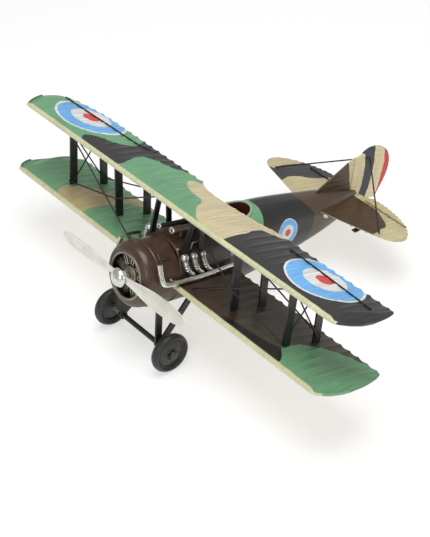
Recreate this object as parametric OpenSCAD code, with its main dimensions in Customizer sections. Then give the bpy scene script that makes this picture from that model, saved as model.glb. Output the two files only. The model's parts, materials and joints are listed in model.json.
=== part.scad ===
// Tin-plate scale model of a two-bay biplane fighter, nose along -Y, port side +X.
// Everything is drawn level, with the propeller axis along Y at height zero and
// Y = 0 at the upper wing's leading edge, and then stood on its wheels and tail skid.

/* [Wings] */
// Upper wing span
span = 432; // [402:2:452]
// Upper wing chord
chord_upper = 59; // [56:0.5:62]
// Lower wing chord
chord_lower = 73; // [70:0.5:76]
// Height of the upper wing above the lower wing
wing_gap = 64; // [60:0.5:70]
// Radius of the rolled leading edge
nose_roll = 2.1; // [1.8:0.1:2.4]
// Height of the ribbed top above the chord line
camber = 3.3; // [2.8:0.1:3.6]
// Distance between ribs
rib_pitch = 10.25; // [9:0.25:13]
// Depth of the hollow between two ribs at the trailing edge
scallop = 1.2; // [0.6:0.1:1.6]

/* [Struts and wires] */
// Distance from the centre to the inner struts
strut_inner_x = 81; // [76:0.5:86]
// Distance from the centre to the outer struts
strut_outer_x = 148; // [142:0.5:152]
// Width of a flat strut
strut_w = 7.5; // [6.5:0.25:8]
// Thickness of a flat strut
strut_t = 1.8; // [1.4:0.1:2.2]
// Diameter of the bracing wires
wire_d = 1.3; // [1:0.1:1.5]

/* [Fuselage] */
// Radius of the engine cowl
cowl_r = 28.5; // [28:0.25:29]
// Radius of the cowl's front opening
cowl_mouth_r = 20; // [19:0.25:21]
// Thickness of the sheet
sheet = 0.8; // [0.6:0.1:1]
// Length of the cockpit opening
cockpit_l = 33; // [30:0.5:35]
// Width of the cockpit opening
cockpit_w = 27; // [24:0.5:28]

/* [Tail] */
// Half span of the tailplane
tail_half = 87.5; // [82:0.5:92]
// Thickness of the tail sheets
tail_t = 1.4; // [1.2:0.1:1.8]

/* [Propeller] */
// Diameter of the propeller
prop_d = 168; // [150:1:172]
// Widest part of a blade
blade_w = 13; // [10:0.5:15]
// Radius of the shaft
shaft_r = 1.5; // [1.4:0.1:1.8]

/* [Landing gear] */
// Wheel diameter
wheel_d = 36; // [34:0.5:37]
// Wheel width
wheel_w = 9.2; // [8.6:0.2:10]
// Distance from the centre to a wheel's inner face
wheel_x = 36.2; // [35:0.2:38]
// Nose-up angle on the ground
stance = 15; // [14:0.25:16]

/* [Hidden] */
$fn = 48;

green = "#7fb089";
grey = "#3d3e40";
tan_paint = "#cdc39b";
brown = "#553f2e";
cream = "#cbcda6";
black = "#262628";
silver = "#b9b9b4";

// ---- ground position -------------------------------------------------------------------
axle_y = 0;
axle_z = -58.2;
wheel_r = wheel_d / 2;
spinner_tip_y = -39.5;
rudder_aft_y = 271;
rudder_aft_z = 55;
// Height of the axle's centre line above the ground, measured along the level frame's axes
axle_drop = cos(stance) * axle_z - sin(stance) * axle_y;
lift = wheel_r - axle_drop;
y_front = cos(stance) * (spinner_tip_y);
y_back = cos(stance) * rudder_aft_y + sin(stance) * rudder_aft_z;
y_middle = (y_front + y_back) / 2;

module stand() {
    translate([0, -y_middle, lift]) rotate([-stance, 0, 0]) children();
}

// ---- helpers ---------------------------------------------------------------------------
function mix(a, b, t) = a + (b - a) * t;
function bez(p0, p1, p2, p3, t) =
    pow(1 - t, 3) * p0 + 3 * pow(1 - t, 2) * t * p1 + 3 * (1 - t) * t * t * p2 + t * t * t * p3;

// Round bar from a to b
module bar(a, b, r) {
    d = b - a;
    translate(a)
        rotate([0, acos(d[2] / norm(d)), atan2(d[1], d[0])])
            cylinder(h = norm(d), r = r);
}

// Round bar bent along a list of points, with a slightly full elbow at each bend
elbow_full = 1.06;
module bent_bar(points, r) {
    for (i = [0 : len(points) - 2]) bar(points[i], points[i + 1], r);
    for (i = [1 : len(points) - 2]) translate(points[i]) sphere(r = r * elbow_full);
}

// Cylinder along +X or +Y
module x_rod(r, x0, x1) { translate([x0, 0, 0]) rotate([0, 90, 0]) cylinder(h = x1 - x0, r = r); }
module y_rod(r, y0, y1) { translate([0, y0, 0]) rotate([-90, 0, 0]) cylinder(h = y1 - y0, r = r); }
// Profile of [radius, y] points turned round the propeller axis
module y_turned(profile) {
    rotate([-90, 0, 0]) rotate_extrude($fn = 96) polygon(profile);
}

// Flat strip from a to b, thin in X, with its width along the aeroplane's length
module strip(a, b, w, t) {
    d = b - a;
    lean_back = atan2(d[1], d[2]);
    lean_out = atan2(d[0], norm([d[1], d[2]]));
    translate(a) rotate([-lean_back, 0, 0]) rotate([0, lean_out, 0])
        translate([-t / 2, -w / 2, 0]) cube([t, w, norm(d)]);
}

module mirror_x(side) { if (side > 0) children(); else mirror([1, 0, 0]) children(); }

// ---- wings -----------------------------------------------------------------------------
tip_swell = 13;
half_upper = span / 2 - tip_swell;
half_lower = half_upper - 1.5;
te_half = 0.5;

// Side view of a wing as [y, z] points: rolled nose, arched top, flat underside
function wing_profile(chord, inset = 0) = concat(
    [for (a = [90 : 15 : 270])
        [nose_roll + (nose_roll - inset) * cos(a), (nose_roll - inset) * sin(a)]],
    [[chord - inset * 2.5, -te_half - 0.9 + inset * 0.4],
        [chord - inset * 2.5, te_half - 0.9 - inset * 0.4]],
    [for (i = [11 : -1 : 1])
        bez([nose_roll, nose_roll - inset], [chord * 0.33, camber * 1.5 - inset],
            [chord * 0.7, camber * 0.55 - inset],
            [chord - inset * 2.5, te_half - 0.9 - inset * 0.4], i / 12)]);

// Wing plate from x0 to x1, with its side view extruded along the span
module wing_slab(chord, x0, x1, inset = 0) {
    translate([x0, 0, 0]) rotate([90, 0, 90])
        linear_extrude(height = x1 - x0) polygon(wing_profile(chord, inset));
}

// Hollows between the ribs along a trailing edge, as round bites taken out of the plate
module scallops(edge, x0, x1) {
    n = max(1, round((x1 - x0) / rib_pitch));
    pitch = (x1 - x0) / n;
    bite_r = (pitch * pitch / 4 + scallop * scallop) / (2 * scallop);
    for (i = [0 : n - 1]) let (x = x0 + (i + 0.5) * pitch)
        translate([x, lookup(x, edge) - scallop + bite_r, -6]) cylinder(h = 12, r = bite_r, $fn = 48);
}

// Plan outlines of the swollen tips, as [distance outside the leading edge's corner, share of
// the chord]; the hand-cut tips are all a little different
tip_upper_left = [[0, 0], [3, 0.05], [7, 0.14], [10.5, 0.27], [12.5, 0.42], [13, 0.6], [12, 0.78],
    [9.5, 0.96], [7.5, 1]];
tip_upper_right = [[0, 0], [6, 0.13], [10.5, 0.27], [13, 0.42], [12.6, 0.58], [10, 0.7], [4, 0.8],
    [-5, 0.87], [-20, 0.935], [-38, 0.98], [-53, 1]];
tip_lower_left = [[0, 0], [5, 0.1], [9, 0.3], [9.6, 0.55], [7.5, 0.78], [3.5, 0.96], [1.5, 1]];
tip_lower_right = [[0, 0], [6, 0.07], [10.5, 0.16], [13, 0.3], [11.5, 0.5], [9, 0.7], [6, 0.86], [-5, 1]];

// Wing plate with one tip, from x0 outwards
module tipped_slab(chord, x0, half, tip) {
    intersection() {
        wing_slab(chord, x0, half + tip_swell + 1);
        translate([0, 0, -8]) linear_extrude(height = 16)
            polygon(concat([[x0 - 1, -1], [half - 1, -1]],
                [for (p = tip) [half + p[0], p[1] * chord]], [[half + tip[len(tip) - 1][0], chord + 1],
                [x0 - 1, chord + 1]]));
    }
}

// ---- fuselage --------------------------------------------------------------------------
// Stations along the body: [y, half width, top, bottom]
stations = [[8.5, 27.6, 28.6, -28.2], [20, 27.5, 32.5, -28], [34, 27, 36.5, -27.8],
    [50, 26.3, 40.5, -27.2], [64, 25.8, 42.6, -26.4], [81, 25.3, 43.8, -25], [98, 24.8, 44.5, -22.6],
    [113, 23.8, 44.8, -19.2], [129, 22.4, 44.6, -15], [145, 20.9, 43.8, -10.6],
    [160, 19.4, 42.9, -6], [178, 17, 42, -0.6], [197, 13, 40.6, 5], [214, 8.8, 38.6, 11],
    [226, 5, 36.8, 15.4], [233, 2.6, 35.6, 17.8]];
section_n = 2.35;
section_pts = 40;

function spow(v, e) = sign(v) * pow(abs(v), e);
function section(s, inset) = [for (i = [0 : section_pts - 1])
    let (a = 360 * i / section_pts, zc = (s[2] + s[3]) / 2, rz = (s[2] - s[3]) / 2 - inset,
        rx = s[1] - inset)
    [rx * spow(cos(a), 2 / section_n), s[0], zc + rz * spow(sin(a), 2 / section_n)]];

function lerp_list(y, column) = lookup(y, [for (s = stations) [s[0], s[column]]]);
// Height of the body's top skin at a place
function deck_z(x, y) =
    let (w = lerp_list(y, 1), top = lerp_list(y, 2), bottom = lerp_list(y, 3))
    (top + bottom) / 2 + (top - bottom) / 2 * pow(1 - pow(abs(x) / w, section_n), 1 / section_n);
// Half width of the body at a place
function side_x(y, z) =
    let (w = lerp_list(y, 1), top = lerp_list(y, 2), bottom = lerp_list(y, 3),
        t = abs(z - (top + bottom) / 2) / ((top - bottom) / 2))
    w * pow(1 - pow(t, section_n), 1 / section_n);

// Closed loft through the stations, drawn inwards by inset
module body_loft(inset, y_extra = 0) {
    n = len(stations);
    m = section_pts;
    rings = [for (k = [0 : n - 1])
        [for (p = section(stations[k], inset))
            [p[0], p[1] + (k == 0 ? -y_extra : k == n - 1 ? -inset : 0), p[2]]]];
    points = [for (ring = rings) each ring];
    sides = [for (k = [0 : n - 2], i = [0 : m - 1])
        [k * m + i, k * m + (i + 1) % m, (k + 1) * m + (i + 1) % m, (k + 1) * m + i]];
    ends = [[for (i = [m - 1 : -1 : 0]) i], [for (i = [0 : m - 1]) (n - 1) * m + i]];
    polyhedron(points, concat(sides, ends), convexity = 6);
}

cockpit_y = 81;
module cockpit_plan(grow, z0, z1) {
    translate([0, cockpit_y, z0]) linear_extrude(height = z1 - z0)
        scale([(cockpit_w / 2 + grow) / (cockpit_l / 2 + grow), 1])
            circle(r = cockpit_l / 2 + grow, $fn = 64);
}

module fuselage_shell() {
    stand() color(grey) difference() {
        body_loft(0);
        body_loft(sheet, 1);
        cockpit_plan(0, 20, 60);
    }
}

liner_gap = 0.2;
liner_floor = 12;
module cockpit_liner() {
    stand() color("#5e2620") intersection() {
        body_loft(sheet + liner_gap);
        difference() {
            cockpit_plan(1.8, liner_floor, 60);
            cockpit_plan(1, liner_floor + 1, 61);
        }
    }
}

// Rolled rim: a ring of beads swept round the edge of the opening
rim_r = 1.1;
rim_steps = 48;
rim_sides = 8;
module cockpit_rim() {
    path = [for (i = [0 : rim_steps - 1])
        let (a = 360 * i / rim_steps, x = (cockpit_w / 2 + rim_r * 0.5) * cos(a),
            y = cockpit_y + (cockpit_l / 2 + rim_r * 0.5) * sin(a))
        [x, y, deck_z(x, y) + rim_r * 0.55]];
    points = [for (i = [0 : rim_steps - 1], j = [0 : rim_sides - 1])
        let (a = 360 * i / rim_steps, b = 360 * j / rim_sides)
        path[i] + rim_r * [cos(b) * cos(a), cos(b) * sin(a), sin(b)]];
    faces = [for (i = [0 : rim_steps - 1], j = [0 : rim_sides - 1])
        let (i2 = (i + 1) % rim_steps, j2 = (j + 1) % rim_sides)
        [i * rim_sides + j, i * rim_sides + j2, i2 * rim_sides + j2, i2 * rim_sides + j]];
    stand() color(cream) polyhedron(points, faces, convexity = 4);
}

// ---- nose ------------------------------------------------------------------------------
cowl_front = -26.6;
cowl_bowl_y = -15;
cowl_back = 8.3;
band_y = -13;
// Outside of the cowl as [radius, y]: mouth, bowl, raised band, barrel
cowl_outside = concat(
    [for (i = [0 : 10]) bez([cowl_mouth_r + 1, cowl_front], [cowl_r - 1.4, cowl_front + 0.4],
        [cowl_r, cowl_front + 5], [cowl_r, cowl_bowl_y], i / 10)],
    [[cowl_r + 0.5, band_y - 0.8], [cowl_r + 0.5, band_y + 0.8], [cowl_r, band_y + 1.6],
        [cowl_r, cowl_back]]);
module engine_cowl() {
    inside = [for (i = [len(cowl_outside) - 1 : -1 : 0])
        let (p = cowl_outside[i], edge = i == len(cowl_outside) - 1)
        [min(p[0], cowl_r) - sheet, p[1] + (edge ? 0 : p[1] < cowl_bowl_y ? sheet : 0)]];
    stand() color(brown) y_turned(concat(cowl_outside, inside));
}

ring_r = 1.1;
module cowl_ring() {
    stand() color(silver) translate([0, cowl_front, 0]) rotate([90, 0, 0])
        rotate_extrude($fn = 96) translate([cowl_mouth_r - 0.25, 0]) circle(r = ring_r, $fn = 24);
}

// Hinge ridge along the left of the cowl, and a rail on two posts along the right of it
ridge_y0 = -13.5;
ridge_y1 = 0.5;
ridge_turn = 48;
ridge_r = 1.1;
rail_r = 1.4;
rail_front = [-22.2, -15.5, 26];
rail_back = [-20.8, 0.5, 26];
module cowl_hatch() {
    on_cowl = (cowl_r + 0.3) * [cos(ridge_turn), 0, sin(ridge_turn)];
    stand() color(brown) {
        bar(on_cowl + [0, ridge_y0, 0], on_cowl + [0, ridge_y1, 0], ridge_r);
        bar(rail_front, rail_back, rail_r);
        for (t = [0.25, 0.85]) let (p = mix(rail_front, rail_back, t))
            bar(p, [p[0] * 0.82, p[1], p[2] * 0.82], rail_r * 0.7);
    }
}

backplate_y = -11;
bush_r = 3;
module engine_backplate() {
    stand() color(black) difference() {
        y_rod(cowl_r - sheet - 0.02, backplate_y, backplate_y + 1.6, $fn = 96);
        y_rod(bush_r + 0.02, backplate_y - 1, backplate_y + 3);
    }
}

case_r = 11.5;
case_front = -24;
module crankcase() {
    stand() color(silver) y_turned([[bush_r + 0.02, backplate_y - 0.02], [case_r, backplate_y - 0.02],
        [case_r, case_front + 1.5], [case_r - 1.5, case_front], [bush_r + 0.02, case_front]]);
}

// Nine finned cylinders round the crankcase
cylinder_count = 9;
cylinder_top = 19.2;
fin_count = 5;
module engine_cylinders() {
    barrel_r = 2.9;
    fin_r = 3.8;
    fin_pitch = (cylinder_top - case_r - 1.5) / fin_count;
    profile = concat([[0, case_r - 0.6], [barrel_r, case_r - 0.6]],
        [for (i = [0 : fin_count - 1]) let (z = case_r + 1 + i * fin_pitch)
            each [[barrel_r, z], [fin_r, z], [fin_r, z + 0.8], [barrel_r, z + 0.8]]],
        [[barrel_r, cylinder_top - 0.6], [barrel_r - 0.8, cylinder_top], [0, cylinder_top]]);
    stand() color(silver) for (i = [0 : cylinder_count - 1])
        translate([0, -17.5, 0]) rotate([0, 360 * i / cylinder_count, 0])
            rotate_extrude($fn = 32) polygon(profile);
}

// Brass bush that the propeller shaft runs in
running_gap = 0.05;
module shaft_bush() {
    stand() color("#b08d4a") y_turned([[shaft_r + running_gap, bush_front],
        [bush_r, bush_front], [bush_r, bush_back], [shaft_r + running_gap, bush_back]]);
}

// ---- propeller -------------------------------------------------------------------------
prop_y = -31;
hub_r = 5.2;
hub_front = prop_y - 2.4;
hub_back = prop_y + 2.2;
end_gap = 0.2;
bush_front = case_front - 0.6;
bush_back = backplate_y + 2.2;
// Shaft with a collar on each side of its bush
module prop_shaft() {
    stand() color(silver) {
        y_rod(shaft_r, hub_front + 0.5, bush_back + 2);
        y_rod(bush_r - 0.3, hub_back, bush_front - end_gap);
        y_rod(bush_r + 0.6, bush_back + end_gap, bush_back + 2);
    }
}

// Blade outline as [distance along the blade, half width], one paddle with a round tip
prop_r = prop_d / 2;
blade_widths = [[0, 2.6], [0.1, 2.7], [0.2, 3.4], [0.32, 4.7], [0.46, 5.9], [0.6, 6.5], [0.72, 6.45],
    [0.83, 5.8], [0.91, 4.6], [0.96, 3.3], [0.99, 1.7], [1, 0.5]];
blade_steps = 22;
function blade_half(t) = lookup(t, blade_widths) * blade_w / 13;
function blade_twist(t) = mix(18, 7, t);
module blade() {
    m = 12;
    rings = [for (k = [0 : blade_steps])
        let (t = 1 - pow(1 - k / blade_steps, 1.5), x = t * prop_r, w = blade_half(t), tw = blade_twist(t),
            th = mix(1.7, 0.55, t))
        [for (i = [0 : m - 1]) let (a = 360 * i / m, u = w * cos(a), v = th * sin(a))
            [x, u * sin(tw) + v * cos(tw), u * cos(tw) - v * sin(tw)]]];
    points = [for (ring = rings) each ring];
    faces = concat(
        [for (k = [0 : blade_steps - 1], i = [0 : m - 1])
            [k * m + i, k * m + (i + 1) % m, (k + 1) * m + (i + 1) % m, (k + 1) * m + i]],
        [[for (i = [m - 1 : -1 : 0]) i], [for (i = [0 : m - 1]) blade_steps * m + i]]);
    polyhedron(points, faces, convexity = 4);
}
prop_rest = 1.4;
module propeller() {
    stand() color("#d6d8c6") rotate([0, -prop_rest, 0]) difference() {
        union() {
            y_rod(hub_r, hub_front, hub_back);
            for (turn = [0, 180]) translate([0, prop_y, 0]) rotate([0, turn, 0]) blade();
        }
        y_rod(shaft_r + 0.02, hub_front + 0.48, hub_back + 1);
    }
}

dome_r = 8.3;
module spinner_cap() {
    dome_y = hub_front - 0.8;
    profile = concat([[0, hub_front], [dome_r - 0.4, hub_front]],
        [for (a = [0 : 10 : 90]) [dome_r * cos(a), mix(dome_y, spinner_tip_y, sin(a))]]);
    stand() color(silver) y_turned(profile);
}

// ---- exhausts and guns -----------------------------------------------------------------
pipe_r = 2.2;
pipe_route = [[27, -16.3, 22.3], [30.4, -15.6, 14], [32.6, -13.2, 6.4], [33.3, -9, 5.4],
    [33.6, 9, 5.6], [33.4, 26, 6], [31.6, 45, 6.8], [29.4, 67, 7.8]];
// The right-hand pipe lies closer to the cowl than the left-hand one
pipe_hug = 2.4;
module exhaust_pipe(side, hug) {
    route = [for (p = pipe_route) p - [hug, 0, 0]];
    stand() color(silver) mirror_x(side) {
        bent_bar(route, pipe_r);
        translate(route[0]) sphere(r = pipe_r * elbow_full);
        bar([cowl_r - 1.6, -2, 5.5], [33.4 - hug, -2, 5.5], 1.1);
        bar([side_x(40, 6.6) - 0.6, 40, 6.6], [32 - hug, 40, 6.6], 1.1);
    }
}
module exhaust_pipe_left() { exhaust_pipe(1, 0); }
module exhaust_pipe_right() { exhaust_pipe(-1, pipe_hug); }

// Three stub pipes with ball ends, in a row along the side
stub_pitch = 9.9;
stub_r = 1.9;
ball_r = [3.7, 3.3, 2.9];
module exhaust_stubs(side, shift) {
    stand() color(silver) mirror_x(side) translate(shift) for (i = [0 : 2]) {
        y = 12.2 + i * stub_pitch;
        bent_bar([[24.6, y, 21.4], [28, y + 1, 14.4], [28.6, y + 4.4, 9.6], [29.2, y + 8, 7]], stub_r);
        translate([24.4, y, 21.6]) sphere(r = ball_r[i]);
        for (k = [0 : 3]) translate([25.6 + k * 0.6, y + 0.3 + k * 0.2, 18.6 - k * 1.5])
            rotate([0, 20, 0]) rotate_extrude() translate([stub_r, 0]) circle(r = 0.45, $fn = 16);
    }
}
module exhaust_stubs_left() { exhaust_stubs(1, [0, 0, 0]); }
module exhaust_stubs_right() { exhaust_stubs(-1, [0.4, 0, 3.8]); }

gun_z = 39;
gun_x = 6.4;
gun_r = 2.6;
module gun(side, muzzle_y, z, r) {
    stand() color(black) translate([side * gun_x, 0, z]) {
        y_rod(r, muzzle_y + 1.6, 50);
        difference() {
            y_rod(r + 0.5, muzzle_y, muzzle_y + 1.6);
            y_rod(r / 2, muzzle_y - 1, muzzle_y + 1.2);
        }
        for (y = [20, 42]) {
            foot = deck_z(gun_x, y) - z;
            translate([-0.8, y - 1, foot - 0.6]) cube([1.6, 2, -foot - 1]);
        }
    }
}
module gun_left() { gun(1, 8.5, gun_z, gun_r); }
module gun_right() { gun(-1, 5.5, gun_z - 1.8, gun_r - 0.6); }

// ---- wing parts ------------------------------------------------------------------------
skin = 0.6;
cut_x0 = -17;
cut_x1 = 78;
module upper_wing() {
    left_edge = [[0, chord_upper], [half_upper + tip_swell, chord_upper]];
    right_edge = [for (i = [5 : len(tip_upper_right) - 1])
        let (p = tip_upper_right[i]) [-half_upper - p[0], p[1] * chord_upper]];
    stand() color(green) translate([0, 0, wing_gap]) difference() {
        union() {
            tipped_slab(chord_upper, -1, half_upper, tip_upper_left);
            mirror([1, 0, 0]) tipped_slab(chord_upper, -1, half_upper, tip_upper_right);
        }
        for (s = [-1, 1]) mirror_x(s)
            wing_slab(chord_upper * (s > 0 ? 1 : 0.87), 2, half_upper - 2, skin);
        scallops(right_edge, -half_upper, cut_x0);
        scallops(left_edge, cut_x1, half_upper + 6);
        // Shallow cut-out over the cockpit
        translate([0, 0, -6]) linear_extrude(height = 12)
            polygon([[cut_x0, 70], [cut_x0, chord_upper + 0.4], [-12.5, 54.6], [-5, 52.2], [6, 51.2],
                [20, 51.6], [40, 52.9], [60, 55], [cut_x1, chord_upper - 0.3], [cut_x1, 70]]);
    }
}

root_x = 24.2;
module lower_wing(side, tip) {
    edge = [[0, chord_lower], [half_lower + tip_swell, chord_lower]];
    stand() color(green) mirror_x(side) difference() {
        tipped_slab(chord_lower, root_x, half_lower, tip);
        wing_slab(chord_lower, root_x + 4, half_lower - 6, skin);
        scallops(edge, 38, half_lower - 4);
        y_rod(cowl_r + 0.05, -30, cowl_back + 0.05, $fn = 96);
    }
}
module lower_wing_left() { lower_wing(1, tip_lower_left); }
module lower_wing_right() { lower_wing(-1, tip_lower_right); }

// Height of the upper face of a wing at a distance behind its leading edge
function wing_top(chord, y) = let (t = y / chord)
    lookup(t, [for (i = [0 : 12]) let (p = bez([nose_roll, nose_roll], [chord * 0.33, camber * 1.5],
        [chord * 0.7, camber * 0.55], [chord, te_half - 0.9], i / 12)) [p[0] / chord, p[1]]]);
function wing_under(chord, y) = mix(-nose_roll, -te_half - 0.9, (y - nose_roll) / (chord - nose_roll));

// Where the struts meet the lower wing, as [x, y]: outer front, outer rear, inner front, inner
// rear. The struts were soldered in by eye, so the two sides differ.
feet_left = [[143.5, 24], [149, 52], [84.6, 20], [87.7, 48]];
feet_right = [[153.8, 27.7], [146.4, 57], [86, 30], [83.4, 59.4]];
front_head_y = 14;
rear_head_y = 46;
heads = [[strut_outer_x, front_head_y], [strut_outer_x, rear_head_y], [strut_inner_x, front_head_y],
    [strut_inner_x, rear_head_y]];
bury = 0.5;
function foot_point(feet, i) = [feet[i][0], feet[i][1], wing_top(chord_lower, feet[i][1]) - bury];
function head_point(i) = [heads[i][0], heads[i][1], wing_gap + wing_under(chord_upper, heads[i][1]) + bury];
// Point on a strut at a height above the lower wing
function strut_point(feet, i, z) = let (a = foot_point(feet, i), b = head_point(i))
    a + (b - a) * (z - a[2]) / (b[2] - a[2]);
module interplane(side, feet, i) {
    stand() color(black) mirror_x(side) strip(foot_point(feet, i), head_point(i), strut_w, strut_t);
}
module strut_outer_front_left() { interplane(1, feet_left, 0); }
module strut_outer_rear_left() { interplane(1, feet_left, 1); }
module strut_inner_front_left() { interplane(1, feet_left, 2); }
module strut_inner_rear_left() { interplane(1, feet_left, 3); }
module strut_outer_front_right() { interplane(-1, feet_right, 0); }
module strut_outer_rear_right() { interplane(-1, feet_right, 1); }
module strut_inner_front_right() { interplane(-1, feet_right, 2); }
module strut_inner_rear_right() { interplane(-1, feet_right, 3); }

// Cabane struts carry the centre of the upper wing
cabane_w = 5;
module cabane(side, foot_x, foot_y, head_x, head_y) {
    stand() color(black) mirror_x(side)
        strip([foot_x, foot_y, deck_z(foot_x, foot_y) - bury * 2],
            [head_x, head_y, wing_gap + wing_under(chord_upper, head_y) + bury], cabane_w, strut_t);
}
module cabane_front_left() { cabane(1, 20.4, 12, 24, 17.5); }
module cabane_rear_left() { cabane(1, 21.5, 31, 23, 24); }
module cabane_front_right() { cabane(-1, 20.4, 12, 24, 17.5); }
module cabane_rear_right() { cabane(-1, 21.5, 31, 23, 24); }

// Crossed wires between the outer front and rear struts
wire_r = wire_d / 2;
module cross_wires(side, feet) {
    off = [strut_t / 2 + wire_r * 0.7, 0, 0];
    stand() color(black) mirror_x(side) {
        bar(strut_point(feet, 0, wing_gap - 6) + off, strut_point(feet, 1, 7) + off, wire_r);
        bar(strut_point(feet, 0, 8) - off, strut_point(feet, 1, wing_gap - 6) - off, wire_r);
    }
}
module cross_wires_left() { cross_wires(1, feet_left); }
module cross_wires_right() { cross_wires(-1, feet_right); }

// Long wires of the two bays: a flying wire, and two that rise inwards past the inner struts
module bay_wires(side, feet) {
    front = [0, strut_w / 2 + wire_r * 0.6, 0];
    stand() color(black) mirror_x(side) {
        bar(strut_point(feet, 0, wing_gap - 4) - front, [42, 10, 3], wire_r);
        bent_bar([strut_point(feet, 0, 6) - front, strut_point(feet, 2, 22.5) - front,
            [26, 15, 53.5]], wire_r);
        bent_bar([strut_point(feet, 1, 6) + front, strut_point(feet, 3, 26) + front,
            [23, 29.4, 50]], wire_r);
    }
}
module bay_wires_left() { bay_wires(1, feet_left); }
module bay_wires_right() { bay_wires(-1, feet_right); }

// Black rods that outline the ailerons, lying on the upper wing
rod_r = 0.65;
function on_wing(x, y) = [x, y, wing_gap + wing_top(chord_upper, y) + rod_r * 0.7];
module aileron_rod(side, a, b, c) {
    stand() color(black) mirror_x(side)
        bent_bar([on_wing(a[0], a[1]) - [0, 0, rod_r], on_wing(b[0], b[1]), on_wing(c[0], c[1])], rod_r);
}
module aileron_rod_left() { aileron_rod(1, [100, 53.5], [106, 46.5], [half_upper + 1, 40]); }
module aileron_rod_right() { aileron_rod(-1, [79, 54], [96.5, 46], [half_upper - 1, 42.5]); }

// ---- tail ------------------------------------------------------------------------------
tail_z = 31.5;
tail_le = 172;
tail_te = 243.5;
// Half outline of the tailplane: straight leading edge, round tip, trailing edge to the rudder
tail_tip_y = 209;
function tail_half_outline() = concat([[0, tail_le], [9, tail_le]],
    [for (i = [0 : 8]) bez([62, 188], [tail_half - 8, 192.5], [tail_half, 197],
        [tail_half, tail_tip_y], i / 8)],
    [for (i = [1 : 12]) bez([tail_half, tail_tip_y], [tail_half, 222], [tail_half - 22, 240],
        [30, tail_te], i / 12)],
    [[16, tail_te], [11, tail_te - 5], [4, tail_te - 6], [0, tail_te - 6]]);
module tailplane() {
    half = tail_half_outline();
    other = [for (i = [len(half) - 2 : -1 : 1]) [-half[i][0], half[i][1]]];
    stand() color(tan_paint) translate([0, 0, tail_z - tail_t / 2]) difference() {
        linear_extrude(height = tail_t) polygon(concat(half, other));
        for (i = [-4 : 4]) if (abs(i) > 1)
            translate([i * 11.5, tail_te + 10.2 - pow(abs(i) / 4, 2.5) * 2.2, -1])
                cylinder(h = tail_t + 2, r = 11);
    }
}

// Fin and rudder outlines as [y, z]
fin_outline = [[178, 40.5], [217, 67.4], [222.5, 70], [225.5, 36.5], [224, 34.5], [214, 34.5], [196, 38]];
rudder_outline = concat([[226, 36.5], [222.9, 70.1], [229, 71.6]],
    [for (i = [0 : 6]) bez([231, 73.4], [238, 80], [251, 80.6], [260, 75], i / 6)],
    [for (i = [1 : 8]) bez([260, 75], [271, 68], [274.5, 54], [266.5, 36], i / 8)],
    [[262, 24.5], [247, 23.4], [236, 26.6]]);
module side_plate(outline, t) {
    translate([-t / 2, 0, 0]) rotate([90, 0, 90]) linear_extrude(height = t) polygon(outline);
}
module tail_fin() { stand() color(brown) side_plate(fin_outline, tail_t); }
module rudder() {
    stand() color(tan_paint) difference() {
        side_plate(rudder_outline, tail_t);
        translate([-5, 220, tail_z - tail_t / 2 - 0.02]) cube([10, tail_te - 6 - 220 + 0.02, tail_t + 0.04]);
    }
}

module tail_wire(side, top_y) {
    stand() color(black) mirror_x(side)
        bar([70, 196, tail_z + tail_t / 2 - 0.2], [tail_t / 2 + wire_r * 0.6, top_y, 67], wire_r);
}
module tail_wire_left() { tail_wire(1, 242); }
module tail_wire_right() { tail_wire(-1, 234); }

module elevator_rods() {
    z = tail_z + tail_t / 2 + rod_r * 0.7;
    stand() color(black) {
        bar([15, 231.5, z], [78, 230, z], rod_r);
        bar([-15, 230.5, z], [-57, 229, z], rod_r);
    }
}

// ---- landing gear ----------------------------------------------------------------------
leg_w = 6.4;
leg_t = 1.8;
leg_x = 24.6;
axle_r = 1.5;
module gear_leg(side, foot, x_apex) {
    stand() color(black) mirror_x(side) difference() {
        union() {
            strip([x_apex, axle_y, axle_z], foot, leg_w, leg_t);
            translate([x_apex, axle_y, axle_z]) x_rod(leg_w / 2 + 0.5, -leg_t / 2, leg_t / 2);
        }
        translate([0, axle_y, axle_z]) x_rod(axle_r + 0.02, 0, 40);
    }
}
module gear_leg_front_left() { gear_leg(1, [21, -3.5, -18.4], leg_x); }
module gear_leg_rear_left() { gear_leg(1, [22.5, 31, -17.4], leg_x + leg_t + 0.6); }
module gear_leg_front_right() { gear_leg(-1, [21, -3.5, -18.4], leg_x); }
module gear_leg_rear_right() { gear_leg(-1, [22.5, 31, -17.4], leg_x + leg_t + 0.6); }

module at_axle() { translate([0, axle_y, axle_z]) children(); }
module spreader_tube() {
    stand() color(black) at_axle() difference() {
        x_rod(2.3, -leg_x + leg_t / 2 + 0.02, leg_x - leg_t / 2 - 0.02);
        x_rod(axle_r + 0.02, -40, 40);
    }
}

// Axle with a shoulder beside each leg, and a nut outside each wheel
nut_gap = 0.25;
disc_x = wheel_x + wheel_w / 2;
hub_half = 3.2;
module axle() {
    shoulder = leg_x + leg_t * 1.5 + 0.7;
    end = disc_x + hub_half + nut_gap + 1.5;
    stand() color(silver) at_axle() {
        x_rod(axle_r, -end, end);
        for (s = [-1, 1]) mirror_x(s) x_rod(2.3, shoulder, disc_x - hub_half - nut_gap);
    }
}
module axle_nuts() {
    inner = disc_x + hub_half + nut_gap;
    stand() color(silver) at_axle() for (s = [-1, 1]) mirror_x(s) difference() {
        x_rod(2.4, inner, inner + 1.4);
        x_rod(axle_r + 0.02, inner - 1, inner + 3);
    }
}

// ---- wheels ----------------------------------------------------------------------------
// Profile of [radius, x] points turned round the axle
module x_turned(profile) { rotate([90, 0, 90]) rotate_extrude($fn = 96) polygon(profile); }

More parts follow.
